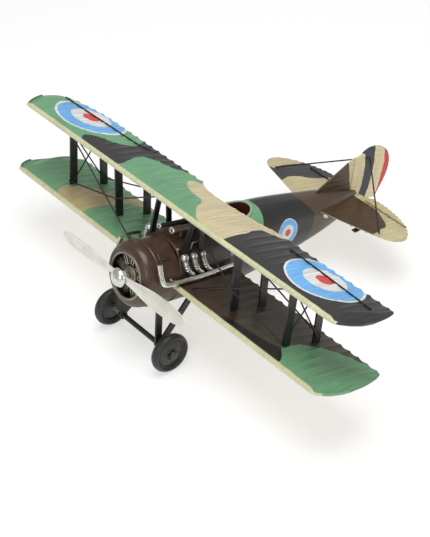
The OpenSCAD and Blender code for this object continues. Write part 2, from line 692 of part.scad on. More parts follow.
tyre_inner = 12.2;
module tyre(side) {
    h = wheel_w / 2;
    profile = concat([[tyre_inner, h * 0.62], [tyre_inner, -h * 0.62]],
        [for (a = [-80 : 20 : 80]) [wheel_r - 3.9 + 3.9 * cos(a), h * sin(a)]]);
    stand() color(black) at_axle() mirror_x(side) translate([disc_x, 0, 0]) x_turned(profile);
}
module tyre_left() { tyre(1); }
module tyre_right() { tyre(-1); }

// Domed disc with a hub that runs on the axle
module wheel_disc(side) {
    bore = axle_r + running_gap;
    stand() color("#303030") at_axle() mirror_x(side) translate([disc_x, 0, 0])
        x_turned([[bore, -hub_half], [4, -hub_half], [4.6, -2.6], [tyre_inner - 0.02, -1.4],
            [tyre_inner - 0.02, 1.6], [7, 2.5], [4.6, 2.9], [4.2, hub_half], [bore, hub_half]]);
}
module wheel_disc_left() { wheel_disc(1); }
module wheel_disc_right() { wheel_disc(-1); }

// Cap that covers the axle's end
module hub_cap(side) {
    x0 = hub_half + 0.02;
    depth = nut_gap + 2.2;
    stand() color("#303030") at_axle() mirror_x(side) translate([disc_x, 0, 0])
        x_turned([[3, x0], [4, x0], [4, x0 + depth * 0.7], [3.2, x0 + depth + 0.5], [0, x0 + depth + 0.8],
            [0, x0 + depth], [2.6, x0 + depth - 0.2], [3, x0 + depth * 0.7]]);
}
module hub_cap_left() { hub_cap(1); }
module hub_cap_right() { hub_cap(-1); }

// ---- tail skid -------------------------------------------------------------------------
// Bent rod from the tail's underside to a flat shoe on the ground
skid_r = 1.2;
skid_top = [0, 229, 18];
shoe_l = 9;
shoe_w = 5;
shoe_t = 1.2;
// Point on the ground under the tail, in the level frame
skid_foot_y = 250;
skid_foot_z = (sin(stance) * skid_foot_y - lift + shoe_t / 2) / cos(stance);
module tail_skid() {
    color(black) {
        stand() bent_bar([skid_top, [0, 240, 9], [0, skid_foot_y, skid_foot_z]], skid_r);
        shoe_y = cos(stance) * skid_foot_y + sin(stance) * skid_foot_z - y_middle;
        translate([-shoe_w / 2, shoe_y - shoe_l / 2, 0]) cube([shoe_w, shoe_l, shoe_t]);
    }
}

fuselage_shell();
cockpit_liner();
cockpit_rim();
engine_cowl();
cowl_ring();
cowl_hatch();
engine_backplate();
crankcase();
engine_cylinders();
shaft_bush();
prop_shaft();
propeller();
spinner_cap();
exhaust_pipe_left();
exhaust_pipe_right();
exhaust_stubs_left();
exhaust_stubs_right();
gun_left();
gun_right();
upper_wing();
lower_wing_left();
lower_wing_right();
aileron_rod_left();
aileron_rod_right();
strut_outer_front_left();
strut_outer_rear_left();
strut_inner_front_left();
strut_inner_rear_left();
strut_outer_front_right();
strut_outer_rear_right();
strut_inner_front_right();
strut_inner_rear_right();
cabane_front_left();
cabane_rear_left();
cabane_front_right();
cabane_rear_right();
cross_wires_left();
cross_wires_right();
bay_wires_left();
bay_wires_right();
tailplane();
tail_fin();
rudder();
tail_wire_left();
tail_wire_right();
elevator_rods();
gear_leg_front_left();
gear_leg_rear_left();
gear_leg_front_right();
gear_leg_rear_right();
spreader_tube();
axle();
axle_nuts();
tail_skid();
tyre_left();
tyre_right();
wheel_disc_left();
wheel_disc_right();
hub_cap_left();
hub_cap_right();
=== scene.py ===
import json
import math

import bmesh
import bpy
import numpy as np
from mathutils import Matrix, Vector


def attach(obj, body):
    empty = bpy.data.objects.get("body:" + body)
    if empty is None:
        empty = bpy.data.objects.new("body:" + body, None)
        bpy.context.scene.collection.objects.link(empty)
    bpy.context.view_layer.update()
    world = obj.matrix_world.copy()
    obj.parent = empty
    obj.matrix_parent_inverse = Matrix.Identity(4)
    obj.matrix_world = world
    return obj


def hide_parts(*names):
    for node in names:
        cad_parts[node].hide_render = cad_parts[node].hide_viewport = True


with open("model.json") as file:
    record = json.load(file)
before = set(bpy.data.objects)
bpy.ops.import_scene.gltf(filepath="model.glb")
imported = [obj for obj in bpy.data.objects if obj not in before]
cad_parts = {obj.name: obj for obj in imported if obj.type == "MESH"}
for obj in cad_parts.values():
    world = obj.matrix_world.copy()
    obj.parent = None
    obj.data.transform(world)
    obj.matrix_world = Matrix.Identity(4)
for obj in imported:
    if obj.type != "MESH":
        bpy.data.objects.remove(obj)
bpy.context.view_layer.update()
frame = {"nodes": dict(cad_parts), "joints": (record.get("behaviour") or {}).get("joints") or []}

# ---- the aeroplane's own frame ------------------------------------------------------------
# Shapes and paint are drawn level, in millimetres: X to port, Y aft, Z up, with the propeller
# axis along Y at height zero and Y = 0 at the upper wing's leading edge.
MM = 0.001


def find_level():
    """Level frame to ground frame, worked out from the propeller's axis and the upper wing."""
    spin = next(j for j in frame["joints"] if j["name"] == "propeller_spin")
    hub = Vector(spin["pos_m"])
    aft = -Vector(spin["axis"]).normalized()
    port = Vector((1, 0, 0))
    up = port.cross(aft)
    wing = frame["nodes"]["upper_wing"].data.vertices
    origin = hub + aft * min((v.co - hub).dot(aft) for v in wing)
    turn = Matrix((port, aft, up)).transposed().to_4x4()
    return Matrix.Translation(origin) @ turn @ Matrix.Scale(MM, 4)


LEVEL = find_level()
TO_LEVEL = LEVEL.inverted()


def level_points(node):
    """A CAD node's vertices in the level frame."""
    return np.array([TO_LEVEL @ v.co for v in frame["nodes"][node].data.vertices])


def level_box(node):
    points = level_points(node)
    return points.min(0), points.max(0)


def end_of(node, top=False, share=0.04):
    """Middle of a long node's lower or upper end."""
    points = level_points(node)
    low, high = points[:, 2].min(), points[:, 2].max()
    edge = (high - low) * share
    return points[points[:, 2] > high - edge].mean(0) if top else points[points[:, 2] < low + edge].mean(0)


# ---- curves and outlines ------------------------------------------------------------------
def smooth(points, steps=6, closed=False):
    """A curve through the points, with the given number of steps between each two."""
    points = [np.array(p, float) for p in points]
    n = len(points)
    get = (lambda i: points[i % n]) if closed else (lambda i: points[min(max(i, 0), n - 1)])
    made = []
    for i in range(n if closed else n - 1):
        a, b, c, d = (get(i + k) for k in (-1, 0, 1, 2))
        for t in np.arange(steps) / steps:
            made.append(0.5 * (2 * b + (c - a) * t + (2 * a - 5 * b + 4 * c - d) * t * t
                               + (3 * b - a - 3 * c + d) * t ** 3))
    return np.array(made if closed else made + [points[-1]])


def bezier(p0, p1, p2, p3, n):
    t = np.linspace(0, 1, n)[:, None]
    p0, p1, p2, p3 = (np.array(p, float) for p in (p0, p1, p2, p3))
    return (1 - t) ** 3 * p0 + 3 * (1 - t) ** 2 * t * p1 + 3 * (1 - t) * t * t * p2 + t ** 3 * p3


def inside_distance(points, outline):
    """Distance of each point inside a closed outline, negative outside it."""
    x, y = points[:, 0], points[:, 1]
    nearest = np.full(len(points), 1e9)
    inside = np.zeros(len(points), bool)
    for a, b in zip(outline, np.roll(outline, -1, 0)):
        d = b - a
        t = np.clip(((x - a[0]) * d[0] + (y - a[1]) * d[1]) / max(d @ d, 1e-9), 0, 1)
        nearest = np.minimum(nearest, np.hypot(x - a[0] - t * d[0], y - a[1] - t * d[1]))
        if a[1] != b[1]:
            crosses = (a[1] > y) != (b[1] > y)
            inside ^= crosses & (x < a[0] + (y - a[1]) / (b[1] - a[1]) * d[0])
    return np.where(inside, nearest, -nearest)


def ease(value, low, high):
    t = np.clip((np.asarray(value, float) - low) / (high - low), 0, 1)
    return t * t * (3 - 2 * t)


# ---- solids -------------------------------------------------------------------------------
class Solid:
    """Points, faces and per-point paint values in the level frame."""

    def __init__(self):
        self.points, self.faces, self.values = [], [], {}

    def add(self, points, faces, **values):
        start = len(self.points)
        self.points.extend(np.asarray(points, float).reshape(-1, 3).tolist())
        self.faces.extend([start + i for i in face] for face in faces)
        for name, list_ in values.items():
            known = self.values.setdefault(name, [])
            known.extend([0.0] * (start - len(known)))
            known.extend(np.asarray(list_, float).ravel().tolist())
        return self

    def loft(self, rings, closed=False, **values):
        """Skin over rings of equal length. Open lofts are capped at both ends."""
        rings = np.asarray(rings, float)
        n, m = rings.shape[:2]
        faces = []
        for k in range(n if closed else n - 1):
            a, b = k * m, (k + 1) % n * m
            faces += [[a + i, a + (i + 1) % m, b + (i + 1) % m, b + i] for i in range(m)]
        if not closed:
            faces += [list(range(m))[::-1], list(range((n - 1) * m, n * m))]
        return self.add(rings, faces, **values)

    def tube(self, path, radius, sides=18, bore=0.0):
        """Round bar swept along a path. A radius may be given for each point."""
        path = np.asarray(path, float)
        radius = np.broadcast_to(np.asarray(radius, float), len(path))
        along = np.gradient(path, axis=0)
        along /= np.linalg.norm(along, axis=1)[:, None]
        side = np.cross(along[0], (0.3, 0.2, 0.93))
        rings = []
        for p, d, r in zip(path, along, radius):
            side = side - d * (side @ d)
            side /= np.linalg.norm(side)
            other = np.cross(d, side)
            turn = np.linspace(0, 2 * math.pi, sides, endpoint=False)[:, None]
            rings.append(p + r * (np.cos(turn) * side + np.sin(turn) * other))
        if bore:
            centre, depth = path[0], along[0] * radius[0] * 1.5
            lip = centre + (rings[0] - centre) * bore
            rings = [lip + depth, lip] + rings
        return self.loft(rings)

    def turned(self, profile, axis="Y", centre=(0, 0, 0), segments=96, closed=True):
        """Profile of [radius, distance] points turned round a line along X, Y or Z."""
        profile = np.asarray(profile, float)
        rings = []
        for t in np.linspace(0, 2 * math.pi, segments, endpoint=False):
            r, h = np.maximum(profile[:, 0], 1e-4), profile[:, 1]
            c, s = r * math.cos(t), r * math.sin(t)
            rings.append(np.stack({"X": (h, c, s), "Y": (c, h, s), "Z": (c, s, h)}[axis], 1) + centre)
        rings = np.array(rings)
        m = len(profile)
        faces = [[k * m + i, k * m + (i + 1) % m, (k + 1) % segments * m + (i + 1) % m,
                  (k + 1) % segments * m + i]
                 for k in range(segments) for i in range(m if closed else m - 1)]
        return self.add(rings, faces)

    def ball(self, centre, radius, squash=(1, 1, 1), rows=12, columns=20):
        ring = [[math.sin(a) * math.cos(b), math.sin(a) * math.sin(b), math.cos(a)]
                for a in np.linspace(0.06, math.pi - 0.06, rows)
                for b in np.linspace(0, 2 * math.pi, columns, endpoint=False)]
        points = np.array(ring) * radius * np.array(squash) + np.array(centre)
        return self.loft(points.reshape(rows, columns, 3))

    def turn_about(self, matrix):
        self.points = [list(matrix @ Vector(p)) for p in self.points]
        return self


def make(name, solid, material, body, stands_for=(), angle=38, thickness=0.0):
    """Mesh object from a solid, riding on a CAD body."""
    mesh = bpy.data.meshes.new(name)
    mesh.from_pydata([LEVEL @ Vector(p) for p in solid.points], [], solid.faces)
    for key, values in solid.values.items():
        layer = mesh.attributes.new(key, "FLOAT", "POINT")
        layer.data.foreach_set("value", np.resize(values, len(solid.points)).astype(np.float32))
    edit = bmesh.new()
    edit.from_mesh(mesh)
    bmesh.ops.recalc_face_normals(edit, faces=edit.faces)
    edit.to_mesh(mesh)
    edit.free()
    mesh.shade_smooth()
    mesh.set_sharp_from_angle(angle=math.radians(angle))
    mesh.materials.append(material)
    piece = bpy.data.objects.new(name, mesh)
    bpy.context.scene.collection.objects.link(piece)
    if thickness:
        shell = piece.modifiers.new("sheet", "SOLIDIFY")
        shell.thickness = thickness * MM
        shell.offset = -1
    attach(piece, body)
    if stands_for:
        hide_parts(*stands_for)
    return piece


# ---- materials ----------------------------------------------------------------------------
def rgb(red, green, blue):
    """Linear colour from the usual 0 to 255 values."""
    parts = [c / 255 for c in (red, green, blue)]
    return [c / 12.92 if c <= 0.04045 else ((c + 0.055) / 1.055) ** 2.4 for c in parts] + [1]


GREEN = rgb(110, 164, 122)
CHARCOAL, SOOT = rgb(50, 50, 50), rgb(24, 23, 22)
TAN, CREAM = rgb(208, 194, 156), rgb(206, 206, 166)
BROWN, DARK_BROWN = rgb(86, 66, 48), rgb(58, 40, 28)
SKY, WHITE, RED = rgb(112, 180, 238), rgb(226, 228, 224), rgb(214, 74, 72)


class Paint:
    """Builder of a procedural material whose coordinates are the level frame's millimetres."""

    def __init__(self, name):
        self.material = bpy.data.materials.new(name)
        self.material.use_nodes = True
        self.tree = self.material.node_tree
        self.tree.nodes.clear()
        self.shader = self.node("ShaderNodeBsdfPrincipled")
        output = self.node("ShaderNodeOutputMaterial")
        self.tree.links.new(self.shader.outputs[0], output.inputs[0])
        place, turn, scale = TO_LEVEL.decompose()
        coordinates = self.node("ShaderNodeTexCoord")
        self.level = self.node("ShaderNodeMapping", Vector=coordinates.outputs["Object"], Location=place,
                               Rotation=turn.to_euler(), Scale=scale).outputs[0]
        split = self.node("ShaderNodeSeparateXYZ", Vector=self.level)
        self.x, self.y, self.z = split.outputs

    def node(self, kind, settings=None, **inputs):
        made = self.tree.nodes.new(kind)
        for key, value in (settings or {}).items():
            setattr(made, key, value)
        for key, value in inputs.items():
            self.put(made.inputs[key], value)
        return made

    def put(self, socket, value):
        if isinstance(value, bpy.types.NodeSocket):
            self.tree.links.new(value, socket)
        else:
            socket.default_value = value

    def math(self, operation, a, b=0.0, c=0.0):
        made = self.node("ShaderNodeMath", {"operation": operation})
        for socket, value in zip(made.inputs, (a, b, c)):
            self.put(socket, value)
        return made.outputs[0]

    def times(self, a, b):
        return self.math("MULTIPLY", a, b)

    def plus(self, a, b):
        return self.math("ADD", a, b)

    def minus(self, a, b):
        return self.math("SUBTRACT", a, b)

    def ramp(self, value, low, high, out_low=0.0, out_high=1.0):
        """Value mapped from one range to another, and held inside it."""
        made = self.node("ShaderNodeMapRange", {"interpolation_type": "SMOOTHSTEP"})
        for socket, number in zip(made.inputs, (value, low, high, out_low, out_high)):
            self.put(socket, number)
        return made.outputs[0]

    def mix(self, mask, first, second):
        made = self.node("ShaderNodeMix", {"data_type": "RGBA"})
        for index, value in ((0, mask), (6, first), (7, second)):
            self.put(made.inputs[index], value)
        return made.outputs[2]

    def shade(self, colour, amount):
        """Colour made darker or lighter by a factor."""
        made = self.node("ShaderNodeVectorMath", {"operation": "SCALE"})
        self.put(made.inputs[0], colour if isinstance(colour, bpy.types.NodeSocket) else colour[:3])
        self.put(made.inputs["Scale"], amount)
        return made.outputs[0]

    def noise(self, scale, detail=3.0, rough=0.55, shift=0.0):
        """Noise with a frequency per millimetre along each axis."""
        across = self.node("ShaderNodeMapping", Vector=self.level, Scale=scale, Location=(shift,) * 3)
        return self.node("ShaderNodeTexNoise", Vector=across.outputs[0], Scale=1.0, Detail=detail,
                         Roughness=rough).outputs["Fac"]

    def attribute(self, name):
        return self.node("ShaderNodeAttribute", {"attribute_name": name}).outputs["Fac"]

    def edges(self, width=0.5):
        """Mask of the corners that handling rubs, broken up by noise."""
        bevel = self.node("ShaderNodeBevel", {"samples": 4}, Radius=width * MM)
        flat = self.node("ShaderNodeNewGeometry").outputs["Normal"]
        dot = self.node("ShaderNodeVectorMath", {"operation": "DOT_PRODUCT"})
        self.put(dot.inputs[0], bevel.outputs[0])
        self.put(dot.inputs[1], flat)
        corner = self.ramp(dot.outputs["Value"], 0.97, 0.78)
        return self.times(corner, self.ramp(self.noise((0.35,) * 3, 4.0), 0.47, 0.62))

    def hollows(self, reach=3.0):
        """Mask of the corners and recesses, found by ambient occlusion: painted shade on enamel, patina on
        bare metal.
        """
        open_ = self.node("ShaderNodeAmbientOcclusion", {"samples": 6}, Distance=reach * MM).outputs["AO"]
        return self.ramp(open_, 0.82, 0.25)

    def finish(self, colour, roughness, height=None, depth=0.2, metallic=0.0, coat=0.0):
        self.put(self.shader.inputs["Base Color"], colour)
        self.put(self.shader.inputs["Roughness"], roughness)
        self.put(self.shader.inputs["Metallic"], metallic)
        self.shader.inputs["Coat Weight"].default_value = coat
        self.shader.inputs["Coat Roughness"].default_value = 0.25
        if height is not None:
            bump = self.node("ShaderNodeBump", Strength=1.0, Distance=depth * MM, Height=height)
            self.tree.links.new(bump.outputs[0], self.shader.inputs["Normal"])
        return self.material


# Directions in which a brush has left its streaks: along the wing chord or along the body, as
# frequencies per millimetre
CHORDWISE, LENGTHWISE = (0.55, 0.025, 0.3), (0.5, 0.02, 0.5)


def enamel(name, base, layers=(), rings=(), streaks=CHORDWISE, gloss=0.42, worn=BROWN, hollow_shade=0.7,
           coat=0.12, ribs=None):
    """Hand-painted enamel, with painted shade in its hollows. Layers are (attribute, colour), ribs are
    (axis, first rib, pitch), along which a painted highlight and painted shade are laid.
    """
    paint = Paint(name)
    wander = paint.math("MULTIPLY_ADD", paint.noise((0.11, 0.11, 0.11), 3.0), 1.6, -0.8)
    colour = base(paint) if callable(base) else base
    for source, layer in layers:
        edge = paint.plus(paint.attribute(source), wander)
        colour = paint.mix(paint.ramp(edge, -0.25, 0.25), colour, layer)
    for centre, stretch, across, up, steps, where in rings:
        axes = {"X": paint.x, "Y": paint.y, "Z": paint.z}
        a = paint.math("DIVIDE", paint.minus(axes[across], centre[0]), stretch)
        b = paint.minus(axes[up], centre[1])
        far = paint.math("SQRT",
                         paint.plus(paint.times(a, a), paint.times(b, b)))
        far = paint.math("MULTIPLY_ADD", wander, 0.35, far)
        for radius, ring in steps:
            inside = paint.ramp(far, radius + 0.22, radius - 0.22)
            colour = paint.mix(paint.times(inside, paint.attribute(where)), colour, ring)
    brush = paint.noise(streaks, 4.0, 0.6)
    cloud = paint.noise((0.03,) * 3, 3.0, 0.6, 7.0)
    grain = paint.noise((1.1,) * 3, 2.0, 0.5)
    tone = paint.plus(paint.ramp(brush, 0.3, 0.72, 0.84, 1.05),
                      paint.ramp(cloud, 0.3, 0.7, -0.07, 0.07))
    if ribs:
        # Painted highlight along the crest of each rib, with painted shade lying beside it
        axis, first, pitch = ribs
        along = {"X": paint.x, "Z": paint.z}[axis]
        phase = paint.math("MULTIPLY_ADD", along, math.pi / pitch, -math.pi * first / pitch)
        crest = paint.math("ABSOLUTE", paint.math("COSINE", phase))
        beside = paint.math("ABSOLUTE", paint.math("COSINE", paint.plus(phase, 0.34)))
        broken = paint.math("MULTIPLY",
                            paint.ramp(paint.noise((0.12, 0.05, 0.12), 4.0, 0.6, 9.0), 0.36, 0.6),
                            paint.ramp(paint.y, 7, 26))
        # Painted highlight on the rib crests and painted shade beside them
        pale = paint.times(paint.ramp(crest, 0.94, 0.998), broken)
        rib_shade = paint.times(paint.ramp(beside, 0.93, 0.998), broken)
        tone = paint.plus(tone, paint.math("MULTIPLY_ADD", pale, 0.24, paint.times(rib_shade, -0.24)))
    colour = paint.shade(colour, tone)
    specks = paint.noise((0.5, 0.22, 0.5), 5.0, 0.7, 3.0)
    speck = paint.times(paint.ramp(specks, 0.66, 0.76), 0.35)
    colour = paint.mix(speck, colour, DARK_BROWN)
    # Painted shade: dark brown laid into the corners and recesses that ambient occlusion finds
    colour = paint.mix(paint.times(paint.hollows(), hollow_shade), colour, rgb(34, 26, 20))
    colour = paint.mix(paint.times(paint.edges(), 0.8), colour, worn)
    rough = paint.plus(paint.ramp(cloud, 0.3, 0.7, gloss - 0.07, gloss + 0.09),
                       paint.ramp(grain, 0.3, 0.7, -0.03, 0.03))
    height = paint.math("MULTIPLY_ADD", brush, 0.8, paint.times(grain, 0.25))
    return paint.finish(colour, rough, height, 0.16, coat=coat)


def bare_metal(name, colour, rough=0.26, patina=rgb(46, 42, 36), amount=1.0, metallic=0.92,
               streaks=(0.3, 0.3, 0.3)):
    """Silver-painted or bare metal with dark patina left in its hollows."""
    paint = Paint(name)
    cloud = paint.noise((0.12,) * 3, 4.0, 0.6)
    brush = paint.noise(streaks, 3.0, 0.6, 5.0)
    spots = paint.ramp(paint.noise((0.45,) * 3, 5.0, 0.7, 2.0), 0.56, 0.68)
    stain = paint.math("MINIMUM", paint.plus(paint.times(spots, 0.55),
                                             paint.times(paint.hollows(2.2), 1.1)), 1.0)
    stain = paint.times(stain, amount)
    tint = paint.shade(colour, paint.ramp(brush, 0.3, 0.7, 0.82, 1.06))
    tint = paint.mix(stain, tint, patina)
    roughness = paint.math("MULTIPLY_ADD", stain, 0.3,
                           paint.ramp(cloud, 0.3, 0.7, rough - 0.07, rough + 0.1))
    height = paint.plus(paint.times(cloud, 0.8), paint.times(brush, 0.35))
    return paint.finish(tint, roughness, height, 0.14,
                        metallic=paint.math("MULTIPLY_ADD", stain, -0.6, metallic))


def black_paint(name, base=rgb(21, 21, 22), worn=rgb(92, 84, 74), gloss=0.4, streaks=(0.25, 0.25, 0.06)):
    """Satin black on strip and wire, rubbed pale along its edges."""
    paint = Paint(name)
    brush = paint.noise(streaks, 4.0, 0.6)
    cloud = paint.noise((0.05,) * 3, 3.0)
    dust = paint.times(paint.ramp(cloud, 0.5, 0.75), 0.3)
    colour = paint.mix(dust, paint.shade(base, paint.ramp(brush, 0.3, 0.7, 0.7, 1.25)), rgb(66, 60, 54))
    colour = paint.mix(paint.times(paint.edges(0.4), 0.7), colour, worn)
    rough = paint.ramp(brush, 0.3, 0.7, gloss - 0.08, gloss + 0.12)
    return paint.finish(colour, rough, brush, 0.12, coat=0.1)


STRUT_BLACK = black_paint("strut_black")
WIRE_BLACK = black_paint("wire_black", rgb(24, 23, 23), rgb(110, 100, 86), 0.45)
SILVER = bare_metal("silver_metal", rgb(222, 222, 216))
PIPE_SILVER = bare_metal("pipe_silver", rgb(224, 224, 216), 0.2, patina=rgb(112, 104, 76), amount=0.6)
RING_SILVER = bare_metal("ring_silver", rgb(150, 144, 126), 0.4, patina=rgb(60, 50, 38), amount=1.6)
DULL_SILVER = bare_metal("engine_silver", rgb(168, 162, 140), 0.4, amount=1.5)
BRASS = bare_metal("brass_metal", rgb(176, 141, 74), 0.3)
CREAM_PAINT = enamel("cream_enamel", CREAM, gloss=0.45)

# ---- wings --------------------------------------------------------------------------------
upper_low, upper_high = level_box("upper_wing")
lower_low, lower_high = level_box("lower_wing_left")
UPPER_CHORD = upper_high[1]
LOWER_CHORD = lower_high[1]
NOSE = 2.1
UPPER_Z = upper_low[2] + NOSE
LOWER_Z = lower_low[2] + NOSE
TIP_SWELL = 13.0
UPPER_CORNER = upper_high[0] - TIP_SWELL
LOWER_CORNER = UPPER_CORNER - 1.5
ROOT_X = lower_low[0]
RIB_PITCH = 10.25
SCALLOP = 1.2
BAND = 3.1
CAMBER = 3.3

# Plan outlines of the swollen tips: distance outside the leading edge's corner, share of chord
TIPS = {
    "upper_left": [(0, 0), (3, 0.05), (7, 0.14), (10.5, 0.27), (12.5, 0.42), (13, 0.6), (12, 0.78),
                   (9.5, 0.96), (7.5, 1)],
    "upper_right": [(0, 0), (6, 0.13), (10.5, 0.27), (13, 0.42), (12.6, 0.58), (10, 0.7), (4, 0.8),
                    (-5, 0.87), (-20, 0.935), (-38, 0.98), (-53, 1)],
    "lower_left": [(0, 0), (5, 0.1), (9, 0.3), (9.6, 0.55), (7.5, 0.78), (3.5, 0.96), (1.5, 1)],
    "lower_right": [(0, 0), (6, 0.07), (10.5, 0.16), (13, 0.3), (11.5, 0.5), (9, 0.7), (6, 0.86), (-5, 1)],
}
# Rear edge of the upper wing's cut-out over the cockpit, with the torn corner beside it
CUT_OUT = [(-18.2, 59), (-17.4, 56), (-15.2, 56.6), (-12.5, 54.4), (-5, 52.2), (6, 51.2), (20, 51.6),
           (40, 52.9),
           (60, 55), (78, 58.7)]


def tip_edges(tip, corner, chord):
    """Front and rear edge of a wing near its tip, as functions of the distance from the centre."""
    outline = smooth(tip, 5)
    far = int(np.argmax(outline[:, 0]))
    x = corner + outline[:, 0]
    y = outline[:, 1] * chord
    back_x, back_y = x[far:][::-1], y[far:][::-1]
    return (lambda at: np.interp(at, x[:far + 1], y[:far + 1]),
            lambda at: np.interp(at, back_x, back_y), x[far])


def rib_shape(x, start, pitch):
    """One on a rib, zero midway between two."""
    return np.cos(math.pi * (x - start) / pitch) ** 2


def wing_half(side, tip, corner, chord, z0, root, cut_out=None, scallop_from=0.0):
    """Rings of one wing from its root outwards, and how far each point is on top."""
    front, back, far = tip_edges(TIPS[tip], corner, chord)
    ribs = np.arange(root, corner, RIB_PITCH)[:, None] + np.array([-1.1, -0.55, 0, 0.55, 1.1])
    stations = np.concatenate([np.arange(root, corner, 1.7), ribs.ravel(),
                               corner + (far - corner) * np.sin(np.linspace(0, math.pi / 2, 14))])
    stations = np.unique(np.round(stations[(stations >= root) & (stations <= far)], 2))
    stations = stations[np.append(True, np.diff(stations) > 0.2)]
    arch = bezier((NOSE, NOSE), (chord * 0.33, CAMBER * 1.5),
                  (chord * 0.7, CAMBER * 0.55), (chord, -0.4), 60)
    top_y = np.concatenate([[NOSE, 2.9, BAND - 0.15, BAND, BAND + 0.3, 4.8, 6, 7.5],
                            np.linspace(9, chord, 30)])
    under_y = np.linspace(chord, NOSE * 1.3, 12)
    nose_turn = np.radians(np.linspace(-80, 80, 9))
    crease_start = corner - 5
    rings, on_top, from_front = [], [], []
    for x in stations:
        y_front, y_back = float(front(x)), float(back(x))
        rib = rib_shape(x, root, RIB_PITCH)
        if cut_out is not None:
            y_back = min(y_back, np.interp(x * side, *np.array(cut_out).T, left=chord, right=chord))
        smooth_edge = cut_out is not None and cut_out[0][0] < x * side < cut_out[-1][0]
        if x > scallop_from and not smooth_edge:
            y_back -= SCALLOP * (1 - rib) * ease(far - x, 0, 12)
        length = max(y_back - y_front, 0.3)
        nose = min(NOSE, length * 0.2)
        share = (top_y - NOSE) / (chord - NOSE)
        y_top = y_front + nose + (length - nose) * share
        z_top = np.interp(top_y, arch[:, 0], arch[:, 1])
        swell = ease(share, 0.1, 0.3)
        z_top = z_top + swell * (0.4 * rib ** 14 - 0.14 * (1 - rib) * ease(share, 0.1, 0.5)) - 0.14
        z_top = z_top + 0.2 * (top_y <= BAND)
        # The end of the wing is folded down towards the underside
        crease = crease_start + 12 * ease(y_top, 2, chord * 0.8)
        fold = np.clip((x - crease) / max(far - crease_start - 9, 1), 0, 1)
        z_top = z_top - fold * (z_top + 1.1) * 0.9 + 0.45 * np.exp(-((x - crease) / 1.3) ** 2) * (y_top > 3)
        z_top = np.maximum(z_top * (nose / NOSE) ** 0.25, -0.62)
        y_nose = y_front + nose - nose * np.cos(nose_turn)
        z_nose = NOSE * (nose / NOSE) * np.sin(nose_turn) * (1 - 0.55 * fold.max())
        y_under = y_front + nose + (length - nose) * (under_y - NOSE) / (chord - NOSE)
        z_under = np.interp(under_y, [NOSE, chord],
                            [-NOSE, -1.4]) + 0.18 * (1 - rib) * ease(chord - under_y, 0, 9)
        ys = np.concatenate([y_under, y_nose, y_top])
        zs = np.concatenate([z_under, z_nose, z_top])
        rings.append(np.stack([np.full(len(ys), side * x), ys, zs + z0], 1))
        on_top.append(np.concatenate([np.zeros(len(y_under)), np.ones(len(y_nose) + len(y_top))]))
        from_front.append(np.concatenate([np.where(y_under < y_front + 5, 3, 9), y_nose * 0,
                                          y_top - y_front]))
    return np.array(rings), np.array(on_top), np.array(from_front)


def wing_solid(halves, outlines):
    """Closed wing from its halves, with a paint distance for each named outline."""
    solid = Solid()
    if len(halves) == 2:
        (a, up_a, lead_a), (b, up_b, lead_b) = halves
        rings = np.concatenate([b[::-1], a[1:]])
        up, lead = np.concatenate([up_b[::-1], up_a[1:]]), np.concatenate([lead_b[::-1], lead_a[1:]])
    else:
        rings, up, lead = halves[0]
    plan = rings.reshape(-1, 3)[:, :2]
    values = {name: np.minimum(inside_distance(plan, outline), up.ravel() * 60 - 5)
              for name, outline in outlines.items()}
    edge = LOWER_CORNER + 4 - np.abs(plan[:, 0]).reshape(lead.shape)
    return solid.loft(rings, up=up, band=np.minimum(BAND - lead, edge), **values)


def joined(*parts):
    """One closed outline from listed edges, each smoothed by itself."""
    return np.concatenate([smooth(part, 5) for part in parts])


STARBOARD_DARK = smooth([(-126, 9), (-120, 3), (-105, 1), (-90, 1), (-78, 1), (-70, 2.5), (-67.5, 8),
                         (-69, 13), (-72, 25), (-71.5, 34), (-65, 41), (-54, 45), (-45, 50), (-38, 60),
                         (-60, 66), (-105, 66), (-103, 60), (-97, 49), (-94, 43), (-97.5, 33),
                         (-104, 25.5), (-116, 20.5),
                         (-124, 13)],
                        5, closed=True)
TAN_STARBOARD_EDGE = [(-16, 62), (-17, 54), (-21.4, 46.7), (-19.6, 41), (-14.4, 37), (-4.6, 33), (4.3, 32),
                      (12.6, 30), (18, 24.7), (21, 18.6), (26, 13), (35.7, 5.7), (43.8, 2), (46, -4)]
PORT_EDGE = [(73, -4), (73, 4), (73, 22), (73, 29), (71, 37), (72, 46), (76, 49), (85, 53), (90, 60),
             (91, 66)]
UPPER_OUTLINES = {
    "tan": joined(TAN_STARBOARD_EDGE, PORT_EDGE),
    "dark": joined(PORT_EDGE, [(230, 66), (230, 30), (230, -4)]),
    "dark_patch": STARBOARD_DARK,
}
OUTSIDE_LEFT = [(230, 90), (230, 40), (230, -6)]
LOWER_LEFT_OUTLINES = {
    "root": joined([(0, -6), (94, -6)], [(94, 1), (97, 14), (92, 30), (95, 48), (90, 62), (93, 80)],
                   [(0, 80)]),
    "soot": smooth([(86, 3), (88, 7), (98, 9.5), (116, 11), (128, 13), (140, 16), (146, 20), (151, 18),
                    (158, 9),
                    (160, 1), (140, 0), (115, 0), (95, 1)], 5, closed=True),
    "tip": joined([(158, -6), (157, 7), (141, 22), (145, 29), (149, 40), (156, 50), (165, 58), (176, 65),
                   (186, 69), (190, 80)], OUTSIDE_LEFT),
}
LOWER_RIGHT_OUTLINES = {
    "tan": joined([(-133, -6), (-135, -4), (-143, 2), (-151, 10.5), (-152.5, 17), (-148, 27), (-137, 42),
                   (-127, 49), (-118, 60), (-114, 80)],
                  [(-84, 80), (-88, 63), (-101, 61), (-105, 39), (-107, 15), (-104, -6)]),
}
WING_LEFT_RINGS = ((155, 38), 1.18, "X", "Y", [(30, WHITE), (28.3, SKY), (16.3, WHITE), (6.8, RED)], "up")
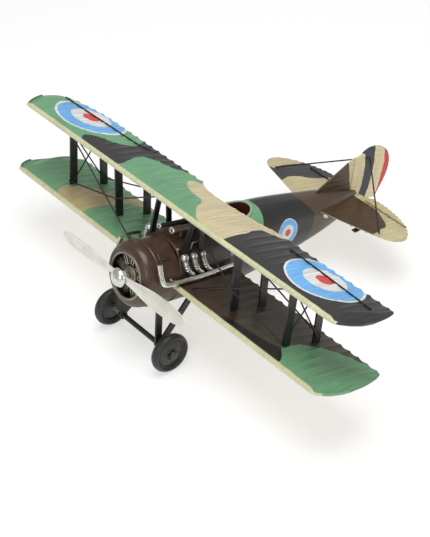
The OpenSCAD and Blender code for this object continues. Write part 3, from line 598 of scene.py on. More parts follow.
WING_RIGHT_RINGS = ((-157, 39), 1.32, "X", "Y",
                    [(29.5, WHITE), (27.5, SKY), (16.5, WHITE), (6.6, RED)], "up")


def sky_belly(top):
    """Top colour on the upper face and pale cream underneath."""
    return lambda paint: paint.mix(paint.ramp(paint.attribute("up"), 0.4, 0.6), TAN, top)


UPPER_PAINT = enamel("upper_wing_camouflage", sky_belly(GREEN),
                     [("tan", TAN), ("dark", CHARCOAL), ("dark_patch", CHARCOAL), ("band", CREAM)],
                     [WING_LEFT_RINGS, WING_RIGHT_RINGS], ribs=("X", 0, RIB_PITCH))
LOWER_LEFT_PAINT = enamel("lower_wing_left_camouflage", sky_belly(rgb(72, 64, 54)),
                          [("root", rgb(66, 48, 34)), ("soot", SOOT), ("tip", GREEN), ("band", CREAM)],
                          gloss=0.38, ribs=("X", ROOT_X, RIB_PITCH))
LOWER_RIGHT_PAINT = enamel("lower_wing_right_camouflage", sky_belly(GREEN),
                           [("tan", rgb(186, 170, 128)), ("band", CREAM)],
                           ribs=("X", -ROOT_X, RIB_PITCH))


def add_wings():
    """Upper wing in one piece, lower wing in two."""
    upper = wing_solid([wing_half(1, "upper_left", UPPER_CORNER, UPPER_CHORD, UPPER_Z, 0, CUT_OUT),
                        wing_half(-1, "upper_right", UPPER_CORNER, UPPER_CHORD, UPPER_Z, 0, CUT_OUT)],
                       UPPER_OUTLINES)
    make("upper_wing_skin", upper, UPPER_PAINT, "airframe", ["upper_wing"])
    for side, name, paint, outlines in ((1, "left", LOWER_LEFT_PAINT, LOWER_LEFT_OUTLINES),
                                        (-1, "right", LOWER_RIGHT_PAINT, LOWER_RIGHT_OUTLINES)):
        half = wing_half(side, "lower_" + name, LOWER_CORNER, LOWER_CHORD, LOWER_Z, ROOT_X, scallop_from=38)
        make("lower_wing_%s_skin" % name, wing_solid([half], outlines), paint, "airframe",
             ["lower_wing_" + name])


add_wings()

# ---- fuselage -----------------------------------------------------------------------------
# Stations along the body: distance aft, half width, top, bottom
BODY = smooth([(8.5, 27.6, 28.6, -28.2), (20, 27.5, 32.5, -28), (34, 27, 36.5, -27.8),
               (50, 26.3, 40.5, -27.2),
               (64, 25.8, 42.6, -26.4), (81, 25.3, 43.8, -25), (98, 24.8, 44.5, -22.6),
               (113, 23.8, 44.8, -19.2), (129, 22.4, 44.6, -15), (145, 20.9, 43.8, -10.6),
               (160, 19.4, 42.9, -6), (178, 17, 42, -0.6), (197, 13, 40.6, 5), (214, 8.8, 38.6, 11),
               (226, 5, 36.8, 15.4), (233, 2.6, 35.6, 17.8)], 6)
ROUND = 2.35
COCKPIT_Y = 81.0
liner_low, liner_high = level_box("cockpit_liner")
COCKPIT_X = liner_high[0] - 1.8
COCKPIT_LENGTH = (liner_high[1] - liner_low[1]) / 2 - 1.8
LINER_FLOOR = liner_low[2] + 1


def body_at(y):
    return [np.interp(y, BODY[:, 0], BODY[:, k]) for k in (1, 2, 3)]


def deck_z(x, y):
    """Height of the body's top skin."""
    width, top, bottom = body_at(y)
    share = np.clip(np.abs(x) / width, 0, 0.999)
    return (top + bottom) / 2 + (top - bottom) / 2 * (1 - share ** ROUND) ** (1 / ROUND)


def side_x(y, z):
    """Half width of the body at a height."""
    width, top, bottom = body_at(y)
    share = abs(z - (top + bottom) / 2) / ((top - bottom) / 2)
    return width * (1 - min(share, 0.999) ** ROUND) ** (1 / ROUND)


def body_ring(y, turn):
    width, top, bottom = body_at(y)
    c, s = np.cos(turn), np.sin(turn)
    # Faint fore-and-aft pleats in the skin behind the cockpit
    pleat = 1 + 0.007 * ease(y, 96, 125) * ease(-y, -226, -190) * np.cos(14 * turn + 0.6) ** 3
    x = width * pleat * np.sign(c) * np.abs(c) ** (2 / ROUND)
    z = (top + bottom) / 2 + (top - bottom) / 2 * pleat * np.sign(s) * np.abs(s) ** (2 / ROUND)
    return np.stack([x, np.full_like(x, y), z], 1)


BODY_PAINT = enamel("fuselage_camouflage", rgb(36, 28, 23),
                    [("lower_front", rgb(66, 52, 42)), ("green", GREEN), ("grey", rgb(40, 40, 39)),
                     ("tail", rgb(84, 66, 48)), ("nose", rgb(70, 48, 33)), ("belly", TAN)],
                    [((132, 21), 1.0, "Y", "Z", [(12.4, WHITE), (11.8, SKY), (7.2, WHITE), (3.4, RED)],
                      "flank")],
                    streaks=LENGTHWISE, gloss=0.36)


def add_fuselage():
    """Body skin with the cockpit opening cut out of its top."""
    stations = np.concatenate([np.arange(8.5, 62, 1.7), np.arange(62, 100, 1.0),
                               np.arange(100, 233, 2.0), [233]])
    turns = np.linspace(0, 2 * math.pi, 120, endpoint=False)
    rings = np.array([body_ring(y, turns) for y in stations])
    n, m = rings.shape[:2]
    points = rings.reshape(-1, 3)
    reach = np.hypot(points[:, 0] / COCKPIT_X, (points[:, 1] - COCKPIT_Y) / COCKPIT_LENGTH)
    in_hole = (reach < 1) & (points[:, 2] > 20)
    faces = [[k * m + i, k * m + (i + 1) % m, (k + 1) * m + (i + 1) % m, (k + 1) * m + i]
             for k in range(n - 1) for i in range(m)]
    faces = [f for f in faces if sum(in_hole[j] for j in f) < 3]
    faces.append([(n - 1) * m + i for i in range(m)])
    # The points left inside the opening are drawn out to its edge
    for j in sorted({j for f in faces for j in f if in_hole[j]}):
        inside = max(reach[j], 0.05)
        x, y = points[j, 0] / inside, COCKPIT_Y + (points[j, 1] - COCKPIT_Y) / inside
        points[j] = (x, y, deck_z(x, y))
    x, y, z = points.T
    bottom = body_at(y)[2]
    values = {
        "nose": np.interp(z, [-30, 8, 20, 31], [8.3, 8.3, 14, 19]) - y,
        "lower_front": np.minimum(14 - z, 62 - y),
        "green": np.minimum(np.minimum(y - np.interp(z, [0, 40], [66, 60]), z - 14),
                            np.interp(z, [0, 20, 44], [96, 99, 104]) - y),
        "grey": y - np.interp(z, [0, 20, 44], [96, 99, 104]),
        "tail": y - np.interp(z, [-16, 0, 32, 43], [158, 162, 167, 154]),
        "belly": bottom + 6 - 4 * ease(y, 20, 60) - z,
        "flank": (np.abs(x) > 8).astype(float),
    }
    make("fuselage_skin", Solid().add(points, faces, **values), BODY_PAINT, "airframe",
         ["fuselage_shell"], thickness=0.8)


def oval(scale, height, n=96):
    """Ring round the cockpit. The height is a number, or a rise above the deck given as a string."""
    turn = np.linspace(0, 2 * math.pi, n, endpoint=False)
    x, y = COCKPIT_X * scale * np.cos(turn), COCKPIT_Y + COCKPIT_LENGTH * scale * np.sin(turn)
    z = deck_z(x, y) + float(height) if isinstance(height, str) else np.full(n, height)
    return np.stack([x, y, z], 1)


def add_cockpit():
    """Red lining and the rolled bead round its edge."""
    wall = [oval(1.0, "0.2") * (1 - t) + oval(0.97, LINER_FLOOR) * t for t in np.linspace(0, 1, 14)]
    outer = [oval(1.05, LINER_FLOOR - 1) * (1 - t) + oval(1.05, "-1.2") * t for t in np.linspace(0, 1, 8)]
    rings = [oval(0.03, LINER_FLOOR)] + wall[::-1] + outer[::-1] + [oval(0.03, LINER_FLOOR - 1)]
    liner = enamel("red_liner_paint", rgb(74, 28, 24), streaks=(0.3, 0.3, 0.05), worn=rgb(130, 60, 50),
                   hollow_shade=0.9)
    make("cockpit_lining", Solid().loft(rings), liner, "airframe", ["cockpit_liner"])
    edge = Solid()
    path = oval(1.035, "0.6", 120)
    sides = []
    for (x, y, z), turn in zip(path, np.linspace(0, 2 * math.pi, 120, endpoint=False)):
        out = np.array([math.cos(turn), math.sin(turn), 0])
        roll = np.linspace(0, 2 * math.pi, 14, endpoint=False)[:, None]
        radius = 1.05 + 0.1 * math.sin(5 * turn)
        sides.append((x, y, z) + radius * (np.cos(roll) * out + np.sin(roll) * np.array([0, 0, 1])))
    make("cockpit_bead", edge.loft(sides, closed=True),
         enamel("cockpit_bead_paint", rgb(160, 186, 150), worn=rgb(110, 84, 60), gloss=0.4), "airframe",
         ["cockpit_rim"])


add_fuselage()
add_cockpit()

# ---- nose ---------------------------------------------------------------------------------
cowl_low, cowl_high = level_box("engine_cowl")
COWL_RADIUS = cowl_high[0] - 0.5
COWL_FRONT, COWL_BACK = cowl_low[1], cowl_high[1]
MOUTH_RADIUS = level_box("cowl_ring")[1][0] - 0.85
SHEET = 0.8
BAND_Y = -13.0
hub_high = level_box("propeller")[1]
PROP_Y = -31.0
PROP_RADIUS = hub_high[0]
HUB_RADIUS = 5.2
DOME_RADIUS = level_box("spinner_cap")[1][0]
SPINNER_TIP, DOME_BACK = level_box("spinner_cap")[0][1], level_box("spinner_cap")[1][1]


def add_cowl():
    """Bowl, barrel and hem of the cowl, with the ridges of its hatch."""
    outside = list(bezier((MOUTH_RADIUS + 1, COWL_FRONT), (COWL_RADIUS - 1.4, COWL_FRONT + 0.4),
                          (COWL_RADIUS, COWL_FRONT + 5), (COWL_RADIUS, -15), 20))
    # Raised seam where the bowl joins the barrel, then two faint rolled lines and a turned hem
    outside += [(COWL_RADIUS - 0.1, -14.2), (COWL_RADIUS + 0.35, BAND_Y - 0.7),
                (COWL_RADIUS + 0.5, BAND_Y - 0.2), (COWL_RADIUS + 0.45, BAND_Y + 0.4),
                (COWL_RADIUS - 0.1, BAND_Y + 1.1), (COWL_RADIUS, BAND_Y + 2), (COWL_RADIUS, 2),
                (COWL_RADIUS, 6.2), (COWL_RADIUS + 0.25, 6.8), (COWL_RADIUS + 0.25, 7.8),
                (COWL_RADIUS, COWL_BACK)]
    inside = [(r - SHEET - (0.3 if r > COWL_RADIUS else 0), y) for r, y in outside[::-1]]
    solid = Solid().turned(outside + inside, segments=144)
    points = np.array(solid.points)
    # Dents and pulls of hand-beaten sheet
    turn = np.arctan2(points[:, 2], points[:, 0])
    swell = 1 + 0.004 * np.sin(3 * turn + 1) * ease(points[:, 1], COWL_FRONT, -14) \
        + 0.003 * np.sin(7 * turn + points[:, 1] * 0.35)
    points[:, [0, 2]] *= swell[:, None]
    solid.points = points.tolist()
    spot = np.array([-22.0, -22.0, 9.0])
    solid.values = {"soot": list(9 - np.linalg.norm(points - spot, axis=1))}
    paint = enamel("cowl_brown", rgb(70, 48, 34), [("soot", SOOT)], worn=rgb(150, 132, 108), gloss=0.34,
                   streaks=(0.3, 0.06, 0.3), coat=0.16)
    make("engine_cowl_bowl", solid, paint, "airframe", ["engine_cowl"])
    ridge = level_points("cowl_hatch")
    port, rail = ridge[ridge[:, 0] > 0], ridge[(ridge[:, 0] < 0) & (ridge[:, 2] > 24.5)]
    trim = Solid()
    for part, full in ((port, 1.25), (rail, 1.4)):
        near, far = part[:, 1].min() + 0.5, part[:, 1].max() - 0.5
        a, b = part[part[:, 1] < near].mean(0), part[part[:, 1] > far].mean(0)
        shares = np.linspace(0.02, 0.98, 16)
        trim.tube([a + (b - a) * t for t in shares], full * np.sqrt(1 - np.abs(2 * shares - 1) ** 4 * 0.85),
                  14)
        if full > 1.3:
            for t in (0.25, 0.85):
                top = a + (b - a) * t
                foot = top * (0.84, 1, 0.84)
                trim.tube([foot, (foot + top) / 2, top], [1.5, 0.9, 0.9], 12)
    # Short cross ridge that makes the hatch hinge a T, lying on the cowl's curve
    arc = [[(COWL_RADIUS + 0.25) * math.cos(a), BAND_Y + 3.4, (COWL_RADIUS + 0.25) * math.sin(a)]
           for a in np.radians(np.linspace(34, 62, 14))]
    trim.tube(arc, 0.95 * np.sqrt(1 - np.linspace(-0.95, 0.95, 14) ** 4), 12)
    make("cowl_hatch_ridges", trim, paint, "airframe", ["cowl_hatch"])


CYLINDERS = 9
CYLINDER_Y = -17.5
BARREL_FINS = 7


def add_engine():
    """Stepped crankcase with bolts, and finned cylinders with pushrods round it."""
    low, high = level_box("crankcase")
    case_radius, front, back = high[0], low[1], high[1]
    case = Solid().turned([(3.1, back), (case_radius, back), (case_radius, front + 8.5), (8.2, front + 7.6),
                           (8.0, front + 2), (7.6, front + 1.2), (7.0, front + 0.8), (6.2, front + 0.7),
                           (5.9, front), (4.4, front - 0.3), (4.0, front - 0.1), (3.1, front - 0.1)],
                           segments=72)
    cylinders = Solid()
    top = level_box("engine_cylinders")[1][2]
    for i in range(CYLINDERS):
        angle = 2 * math.pi * i / CYLINDERS
        turn = Matrix.Rotation(angle, 4, "Y")
        place = turn @ Matrix.Translation((0, CYLINDER_Y, 0))
        seat = case_radius - 4.2
        profile = [(0.01, seat), (2.0, seat)]
        for k in range(BARREL_FINS):
            z = seat + 1 + k * (top - seat - 2.2) / BARREL_FINS
            rim = 2.7 + 1.1 * min(1, (z - seat) / 7)
            profile += [(rim - 1, z), (rim - 0.1, z + 0.12), (rim, z + 0.42), (rim - 1, z + 0.58)]
        profile += [(3.3, top - 1.0), (3.3, top + 0.4), (2.2, top + 1.6), (0.01, top + 1.8)]
        barrel = Solid().turned(profile, axis="Z", segments=32, closed=False).turn_about(place)
        cylinders.add(barrel.points, barrel.faces)
        rods = Solid()
        for x in (-1.7, 1.7):
            rods.tube([(x * 0.7, -4.2, case_radius - 2.2), (x, -3.9, top - 0.4), (x, -3.4, top + 1.4),
                       (x * 0.8, -1.4, top + 2.0)], 0.55, 10)
        rods.ball((0, -3.2, case_radius - 2.4), 1.3, (1.3, 0.8, 0.6), 8, 12).turn_about(place)
        cylinders.add(rods.points, rods.faces)
        bolt = Matrix.Rotation(angle + 0.35, 4, "Y") @ Vector((0, front + 0.9, 6.7))
        case.ball(bolt, 0.6, (1, 0.8, 1), 8, 10)
    make("crankcase_turned", case, DULL_SILVER, "airframe", ["crankcase"])
    make("radial_cylinders", cylinders, FIN_METAL, "airframe", ["engine_cylinders"])


FIN_METAL = bare_metal("fin_metal", rgb(206, 204, 186), 0.36, patina=rgb(16, 14, 12), amount=1.9)

BLADE_WIDTHS = [(0, 2.6), (0.1, 2.8), (0.2, 3.6), (0.32, 5.1), (0.46, 6.4), (0.6, 7.0), (0.72, 7.0),
                (0.83, 6.4), (0.91, 5.3), (0.96, 4.0), (0.99, 2.1), (1, 0.7)]
PROP_TURN = Matrix.Rotation(math.radians(-1.4), 4, "Y")


def add_propeller():
    """Two twisted blades on a hub, and the riveted dome before it."""
    solid = Solid()
    widths = np.array(BLADE_WIDTHS)
    for side in (0, math.pi):
        rings = []
        for t in 1 - (1 - np.linspace(0.0, 1, 54)) ** 1.6:
            width = np.interp(t, widths[:, 0], widths[:, 1])
            thick = 1.7 + (0.5 - 1.7) * t
            twist = math.radians(18 + (7 - 18) * t)
            a = np.linspace(0, 2 * math.pi, 28, endpoint=False)
            u, v = width * np.cos(a), thick * np.sin(a) * (1 + 0.2 * np.cos(a))
            rings.append(np.stack([np.full(28, t * PROP_RADIUS), u * math.sin(twist) + v * math.cos(twist),
                                   u * math.cos(twist) - v * math.sin(twist)], 1))
        place = Matrix.Translation((0, PROP_Y, 0)) @ Matrix.Rotation(side, 4, "Y")
        blade = Solid().loft(rings).turn_about(place)
        solid.add(blade.points, blade.faces)
    front, back = PROP_Y - 2.4, PROP_Y + 2.2
    solid.turned([(1.52, front + 0.5), (1.52, back), (HUB_RADIUS - 0.5, back), (HUB_RADIUS, back - 0.5),
                  (HUB_RADIUS, front + 0.4), (HUB_RADIUS - 0.4, front), (1.52, front)], segments=64)
    paint = Paint("propeller_brushed")
    brush = paint.noise((0.02, 0.4, 0.7), 5.0, 0.6)
    cloud = paint.noise((0.05,) * 3, 3.0)
    stain = paint.ramp(paint.noise((0.16,) * 3, 5.0, 0.7, 4.0), 0.58, 0.74)
    tint = paint.mix(paint.ramp(cloud, 0.35, 0.7), rgb(232, 230, 222), rgb(214, 212, 196))
    tint = paint.shade(tint, paint.ramp(brush, 0.3, 0.72, 0.88, 1.04))
    tint = paint.mix(paint.times(stain, 0.35), tint, rgb(160, 156, 120))
    tint = paint.mix(paint.times(paint.edges(0.5), 0.5), tint, rgb(120, 112, 92))
    material = paint.finish(tint, paint.ramp(brush, 0.3, 0.7, 0.28, 0.46), brush, 0.14, metallic=0.25)
    make("propeller_blades", solid.turn_about(PROP_TURN), material, "propeller",
         ["propeller"])
    dome_y = DOME_BACK - 0.8
    profile = [(0.01, DOME_BACK), (DOME_RADIUS - 0.6, DOME_BACK), (DOME_RADIUS, DOME_BACK - 0.3)]
    profile += [(DOME_RADIUS * math.cos(a) * (0.93 if a else 1.0),
                 dome_y + (SPINNER_TIP - dome_y) * math.sin(a))
                for a in np.radians(np.linspace(0, 90, 16))]
    dome = Solid().turned(profile, segments=80, closed=False)
    for a in np.linspace(0, 2 * math.pi, 18, endpoint=False):
        dome.ball((0.94 * DOME_RADIUS * math.cos(a), dome_y - 0.3, 0.94 * DOME_RADIUS * math.sin(a)), 0.5,
                  rows=7, columns=8)
    make("spinner_dome", dome, SILVER, "propeller", ["spinner_cap"])


add_cowl()
add_engine()
add_propeller()

# ---- exhausts and guns --------------------------------------------------------------------
PIPE_RADIUS = 2.2
PIPE_ROUTE = [(27, -16.3, 22.3), (29.4, -15.9, 16.6), (31.3, -15, 11), (32.7, -13.2, 6.8),
              (33.3, -9.6, 5.5),
              (33.6, 0, 5.5), (33.6, 9, 5.6), (33.4, 26, 6), (31.6, 45, 6.8), (29.4, 67, 7.8)]


STAYS = ((-2, 5.5), (40, 6.6))
STUB_BALLS = (3.7, 3.3, 2.9)
STUB_PITCH = 9.9


def add_exhausts():
    """Long pipe and three ribbed stubs on each side."""
    for side, name in ((1, "left"), (-1, "right")):
        hug = PIPE_ROUTE[6][0] + PIPE_RADIUS - max(abs(level_box("exhaust_pipe_" + name)[1][0]),
                                                   abs(level_box("exhaust_pipe_" + name)[0][0]))
        route = smooth([((x - hug) * side, y, z) for x, y, z in PIPE_ROUTE], 7)
        share = np.linspace(0, 1, len(route))
        radius = PIPE_RADIUS * (1 + 0.05 * (share < 0.02) - 0.12 * ease(share, 0.9, 1))
        pipe = Solid().tube(route, radius, 22, bore=0.72)
        for y, z in STAYS:
            wall = (COWL_RADIUS if y < COWL_BACK else side_x(y, z)) - 1.2
            pipe.tube([(wall * side, y, z), ((33 - hug) * side, y, z)], [1.5, 1.0], 12)
            pipe.turned([(PIPE_RADIUS + 0.1, y - 1.4), (PIPE_RADIUS + 0.45, y - 1.2),
                         (PIPE_RADIUS + 0.45, y + 1.2),
                         (PIPE_RADIUS + 0.1, y + 1.4)],
                         centre=((np.interp(y, [r[1] for r in PIPE_ROUTE[4:]], [
                             r[0] for r in PIPE_ROUTE[4:]]) - hug) * side, 0, z - 0.05), segments=28)
        make("exhaust_pipe_%s_bent" % name, pipe, PIPE_SILVER, "airframe",
             ["exhaust_pipe_" + name])
        stubs = Solid()
        low, high = level_box("exhaust_stubs_" + name)
        first = low[1] + STUB_BALLS[0]
        lift, hug = high[2] - 25.3, 31.1 - max(abs(low[0]), abs(high[0]))
        for i, ball in enumerate(STUB_BALLS):
            y = first + i * STUB_PITCH
            at = lambda x, dy, z: np.array([(x - hug) * side, y + dy, z + lift])
            stubs.ball(at(24.4, 0, 21.6), ball, rows=20, columns=28)
            neck = smooth([at(24.9, 0.1, 20), at(26.6, 0.5, 17), at(28, 1.2, 14.2), at(28.5, 3.2, 11.2),
                           at(28.7, 5.4, 8.9), at(29.2, 8.2, 6.9)], 10)
            ribs = 2.2 + 0.5 * np.maximum(np.cos(np.arange(len(neck)) * 1.25),
                                          0) * (np.arange(len(neck)) < 26)
            stubs.tube(neck[::-1], (ribs + 0.25 * ease(np.arange(len(neck)), 40, 50))[::-1], 20, bore=0.7)
        make("exhaust_stubs_%s_ribbed" % name, stubs, SILVER, "airframe",
             ["exhaust_stubs_" + name])


def add_guns():
    """Ringed barrels on low feet, each with a bright muzzle ring."""
    for name, metal in (("left", bare_metal("gun_grey", rgb(120, 110, 94), 0.4, metallic=0.5)),
                        ("right", bare_metal("gun_black", rgb(52, 50, 48), 0.42, amount=0.6,
                                             metallic=0.3))):
        points = level_points("gun_" + name)
        barrel = points[points[:, 2] > np.percentile(points[:, 2], 30)]
        x, z = (points[:, 0].min() + points[:, 0].max()) / 2, points[:, 2].max()
        front, back, full = points[:, 1].min(), points[:, 1].max(), points[:, 0].max() - x
        z -= full
        radius = full - 0.5
        along = np.linspace(front + 1.6, back, 90)
        # Cooling rings along the jacket, a plain breech behind them
        ringed = radius - 0.22 * (np.cos((along - front) * 2.2) > 0.75) * (along < front + 22)
        body = Solid().tube([(x, y, z) for y in along], ringed, 24)
        for y in (20, 42):
            foot = float(deck_z(x, y))
            body.tube([(x, y, foot - 0.4), (x, y, foot + 0.3), (x, y, z)], [1.7, 0.9, 0.9], 10)
        body.tube([(x, front + 3.4, z + radius - 0.3), (x, front + 3.4, z + radius + 0.45)], 0.4, 8)
        make("gun_%s_barrel" % name, body, metal, "airframe", ["gun_" + name])
        bore = radius * 0.5
        ring = Solid().turned([(bore, front + 1.4), (bore, front + 0.25), (bore + 0.25, front),
                               (full - 0.3, front), (full, front + 0.3), (full, front + 1.3),
                               (full - 0.3, front + 1.6),
                               (bore + 0.2, front + 1.6)], centre=(x, 0, z), segments=40)
        make("gun_%s_muzzle" % name, ring, SILVER, "airframe")


add_exhausts()
add_guns()

# ---- tail ---------------------------------------------------------------------------------
tail_low, tail_high = level_box("tailplane")
TAIL_HALF, TAIL_Z = tail_high[0], (tail_low[2] + tail_high[2]) / 2
TAIL_THICK = (tail_high[2] - tail_low[2]) / 2
TAIL_LE, TAIL_TE = tail_low[1], 243.5
TAIL_PITCH, FIN_PITCH = 5.75, 5.0
ELEVATOR_ROD_RADIUS = 0.75
SOLDER_RADIUS = 2.0


def plate(stations, front, back, thick, place, pitch, start=0.0, scallop=0.0, bead=0.25):
    """Thin ribbed sheet with a rolled front edge. place(s, y, h) puts its points into the model."""
    rings = []
    share = np.concatenate([[0.0, 0.01, 0.03, 0.05], np.linspace(0.08, 1, 22)])
    for s in stations:
        y0, y1 = float(front(s)), float(back(s))
        rib = float(np.cos(math.pi * (s - start) / pitch) ** 2)
        y1 -= scallop * (1 - rib) * min(1, max(0, (y1 - y0) / 12))
        y1 = max(y1, y0 + 0.25)
        half = min(thick, (y1 - y0) * 0.4)
        h = half * (0.72 + 0.28 * rib ** 3 * ease(share, 0.03, 0.2))
        h = h + bead * half * ease(-share, -0.05, -0.01)
        nose = np.radians(np.linspace(-60, 60, 5))
        y_nose = y0 + half * (1 - np.cos(nose))
        ys = np.concatenate([y0 + half + (y1 - y0 - half) * share[::-1], y_nose,
                             y0 + half + (y1 - y0 - half) * share])
        hs = np.concatenate([-h[::-1], half * np.sin(nose), h])
        rings.append([place(s, y, v) for y, v in zip(ys, hs)])
    return np.array(rings)


def add_tailplane():
    """Ribbed tailplane with its paint patches."""
    tip_y = 209
    lead = np.concatenate([[(0, TAIL_LE), (9, TAIL_LE), (35, 179.5)],
                           bezier((62, 188), (TAIL_HALF - 8, 192.5),
                                  (TAIL_HALF, 197), (TAIL_HALF, tip_y), 14)])
    trail = np.concatenate([[(0, TAIL_TE - 6), (4, TAIL_TE - 6), (11, TAIL_TE - 5), (16, TAIL_TE)],
                            bezier((30, TAIL_TE), (TAIL_HALF - 22, 240), (TAIL_HALF, 222),
                                   (TAIL_HALF, tip_y), 14)])
    half = np.concatenate([np.arange(0, 78, 1.4),
                           TAIL_HALF - 9.5 * (1 - np.sin(np.linspace(0, math.pi / 2, 14)))])
    stations = np.concatenate([-half[::-1], half[1:]])
    rings = plate(stations, lambda s: np.interp(abs(s), *lead.T), lambda s: np.interp(abs(s), *trail.T),
                  TAIL_THICK, lambda s, y, h: (s, y, TAIL_Z + h), TAIL_PITCH, scallop=1.2)
    plan = rings.reshape(-1, 3)
    top = (plan[:, 2] > TAIL_Z).astype(float)
    band = np.array([(-80, 186), (-69, 194.5), (-71, 206), (-68, 222), (-64, 240), (-34, 240),
                     (-33.8, 232.9),
                     (-39.6, 213.9), (-45.8, 206.6), (-49.7, 195.2), (-46.4, 180), (-60, 178)], float)
    inner = joined([(0, 160), (66, 170), (67, 195), (63.8, 203.8), (63.3, 211), (57.2, 217), (46, 223),
                    (35.7, 228), (25.8, 229.2), (17, 229), (0, 229)])
    values = {"band": np.minimum(inside_distance(plan[:, :2], smooth(band, 5, closed=True)), top * 60 - 5),
              "brown": np.minimum(inside_distance(plan[:, :2], inner), top * 60 - 5),
              "hinge": 0.45 - np.abs(plan[:, 1] - 229.5)}
    paint = enamel("tailplane_paint", rgb(204, 192, 150),
                   [("band", rgb(60, 62, 60)), ("brown", rgb(74, 54, 36)), ("hinge", rgb(84, 72, 48))],
                   hollow_shade=0.9,
                   ribs=("X", 0, TAIL_PITCH))
    make("tailplane_skin", Solid().loft(rings, **values), paint, "airframe", ["tailplane"])


FIN_FRONT = [(34.5, 214), (38, 196), (40.5, 178), (67.4, 217), (70, 222.2)]
FIN_BACK = [(34.5, 224), (36.5, 225.4), (70, 222.6)]


def add_fin():
    """Ribbed fin, and the rudder with its three stripes."""
    thick = level_box("tail_fin")[1][0]
    stations = np.concatenate([np.linspace(34.6, 40.5, 8), np.arange(41.5, 69.9, 1.1), [69.9]])
    rings = plate(stations, lambda s: np.interp(s, *np.array(FIN_FRONT).T),
                  lambda s: np.interp(s, *np.array(
        FIN_BACK).T), thick, lambda s, y, h: (h, y, s), FIN_PITCH, bead=0.2)
    points = rings.reshape(-1, 3)
    cream = points[:, 1] - np.interp(points[:, 2], [28, 38.5, 53, 64, 70], [232, 225, 220, 216.2, 213])
    paint = enamel("fin_paint", rgb(80, 59, 42), [("cream", rgb(222, 208, 162))], streaks=LENGTHWISE,
                   hollow_shade=0.8,
                   ribs=("Z", 0, FIN_PITCH))
    make("tail_fin_skin", Solid().loft(rings, cream=cream), paint, "airframe", ["tail_fin"])
    front = [(24, 246), (26.6, 236), (36.5, 226), (70.1, 222.9), (71.6, 229), (73.4, 231)]
    crown = bezier((73.4, 231), (80, 238), (80.6, 251), (75, 260), 24)
    peak = int(np.argmax(crown[:, 0]))
    rear = bezier((75, 260), (68, 271), (54, 274.5), (36, 266.5), 20)
    lead = np.concatenate([front, crown[1:peak + 1]])
    trail = np.concatenate([crown[peak:-1], rear, [(24.5, 262), (23.6, 247.5)]])[::-1]
    top = crown[peak, 0]
    stations = np.concatenate([np.linspace(23.7, 27, 6), np.arange(28, top - 4, 1.3),
                               top - 4 * (1 - np.sin(np.linspace(0.05, math.pi / 2 - 0.04, 12)))])
    rings = plate(stations, lambda s: np.interp(s, *lead.T), lambda s: np.interp(s, *trail.T), thick,
                  lambda s, y, h: (h, y, s), FIN_PITCH, bead=0.2)
    points = rings.reshape(-1, 3)
    y, z = points[:, 1], points[:, 2]
    navy_front = y - np.interp(z, [25, 28.5, 41, 58.6, 72, 76], [238, 238.2, 239.7, 238.6, 235, 222])
    navy_back = np.interp(z, [25, 34, 46, 62, 77, 81], [248, 249.7, 250.3, 249.7, 246.6, 245]) - y
    values = {"navy": np.minimum(navy_front, navy_back),
              "red": y - np.interp(z, [24, 32, 44, 60, 75, 80], [260, 262.8, 263.4, 263.9, 260, 257])}
    paint = enamel("rudder_stripes", rgb(232, 218, 172),
                   [("navy", rgb(30, 31, 52)), ("red", rgb(214, 54, 50))],
                   streaks=(0.4, 0.4, 0.03), worn=TAN, ribs=("Z", 0, FIN_PITCH))
    make("rudder_skin", Solid().loft(rings, **values), paint, "airframe", ["rudder"])


add_tailplane()
add_fin()

# ---- wheels -------------------------------------------------------------------------------
WHEEL_RADIUS = (level_box("tyre_left")[1][1] - level_box("tyre_left")[0][1]) / 2


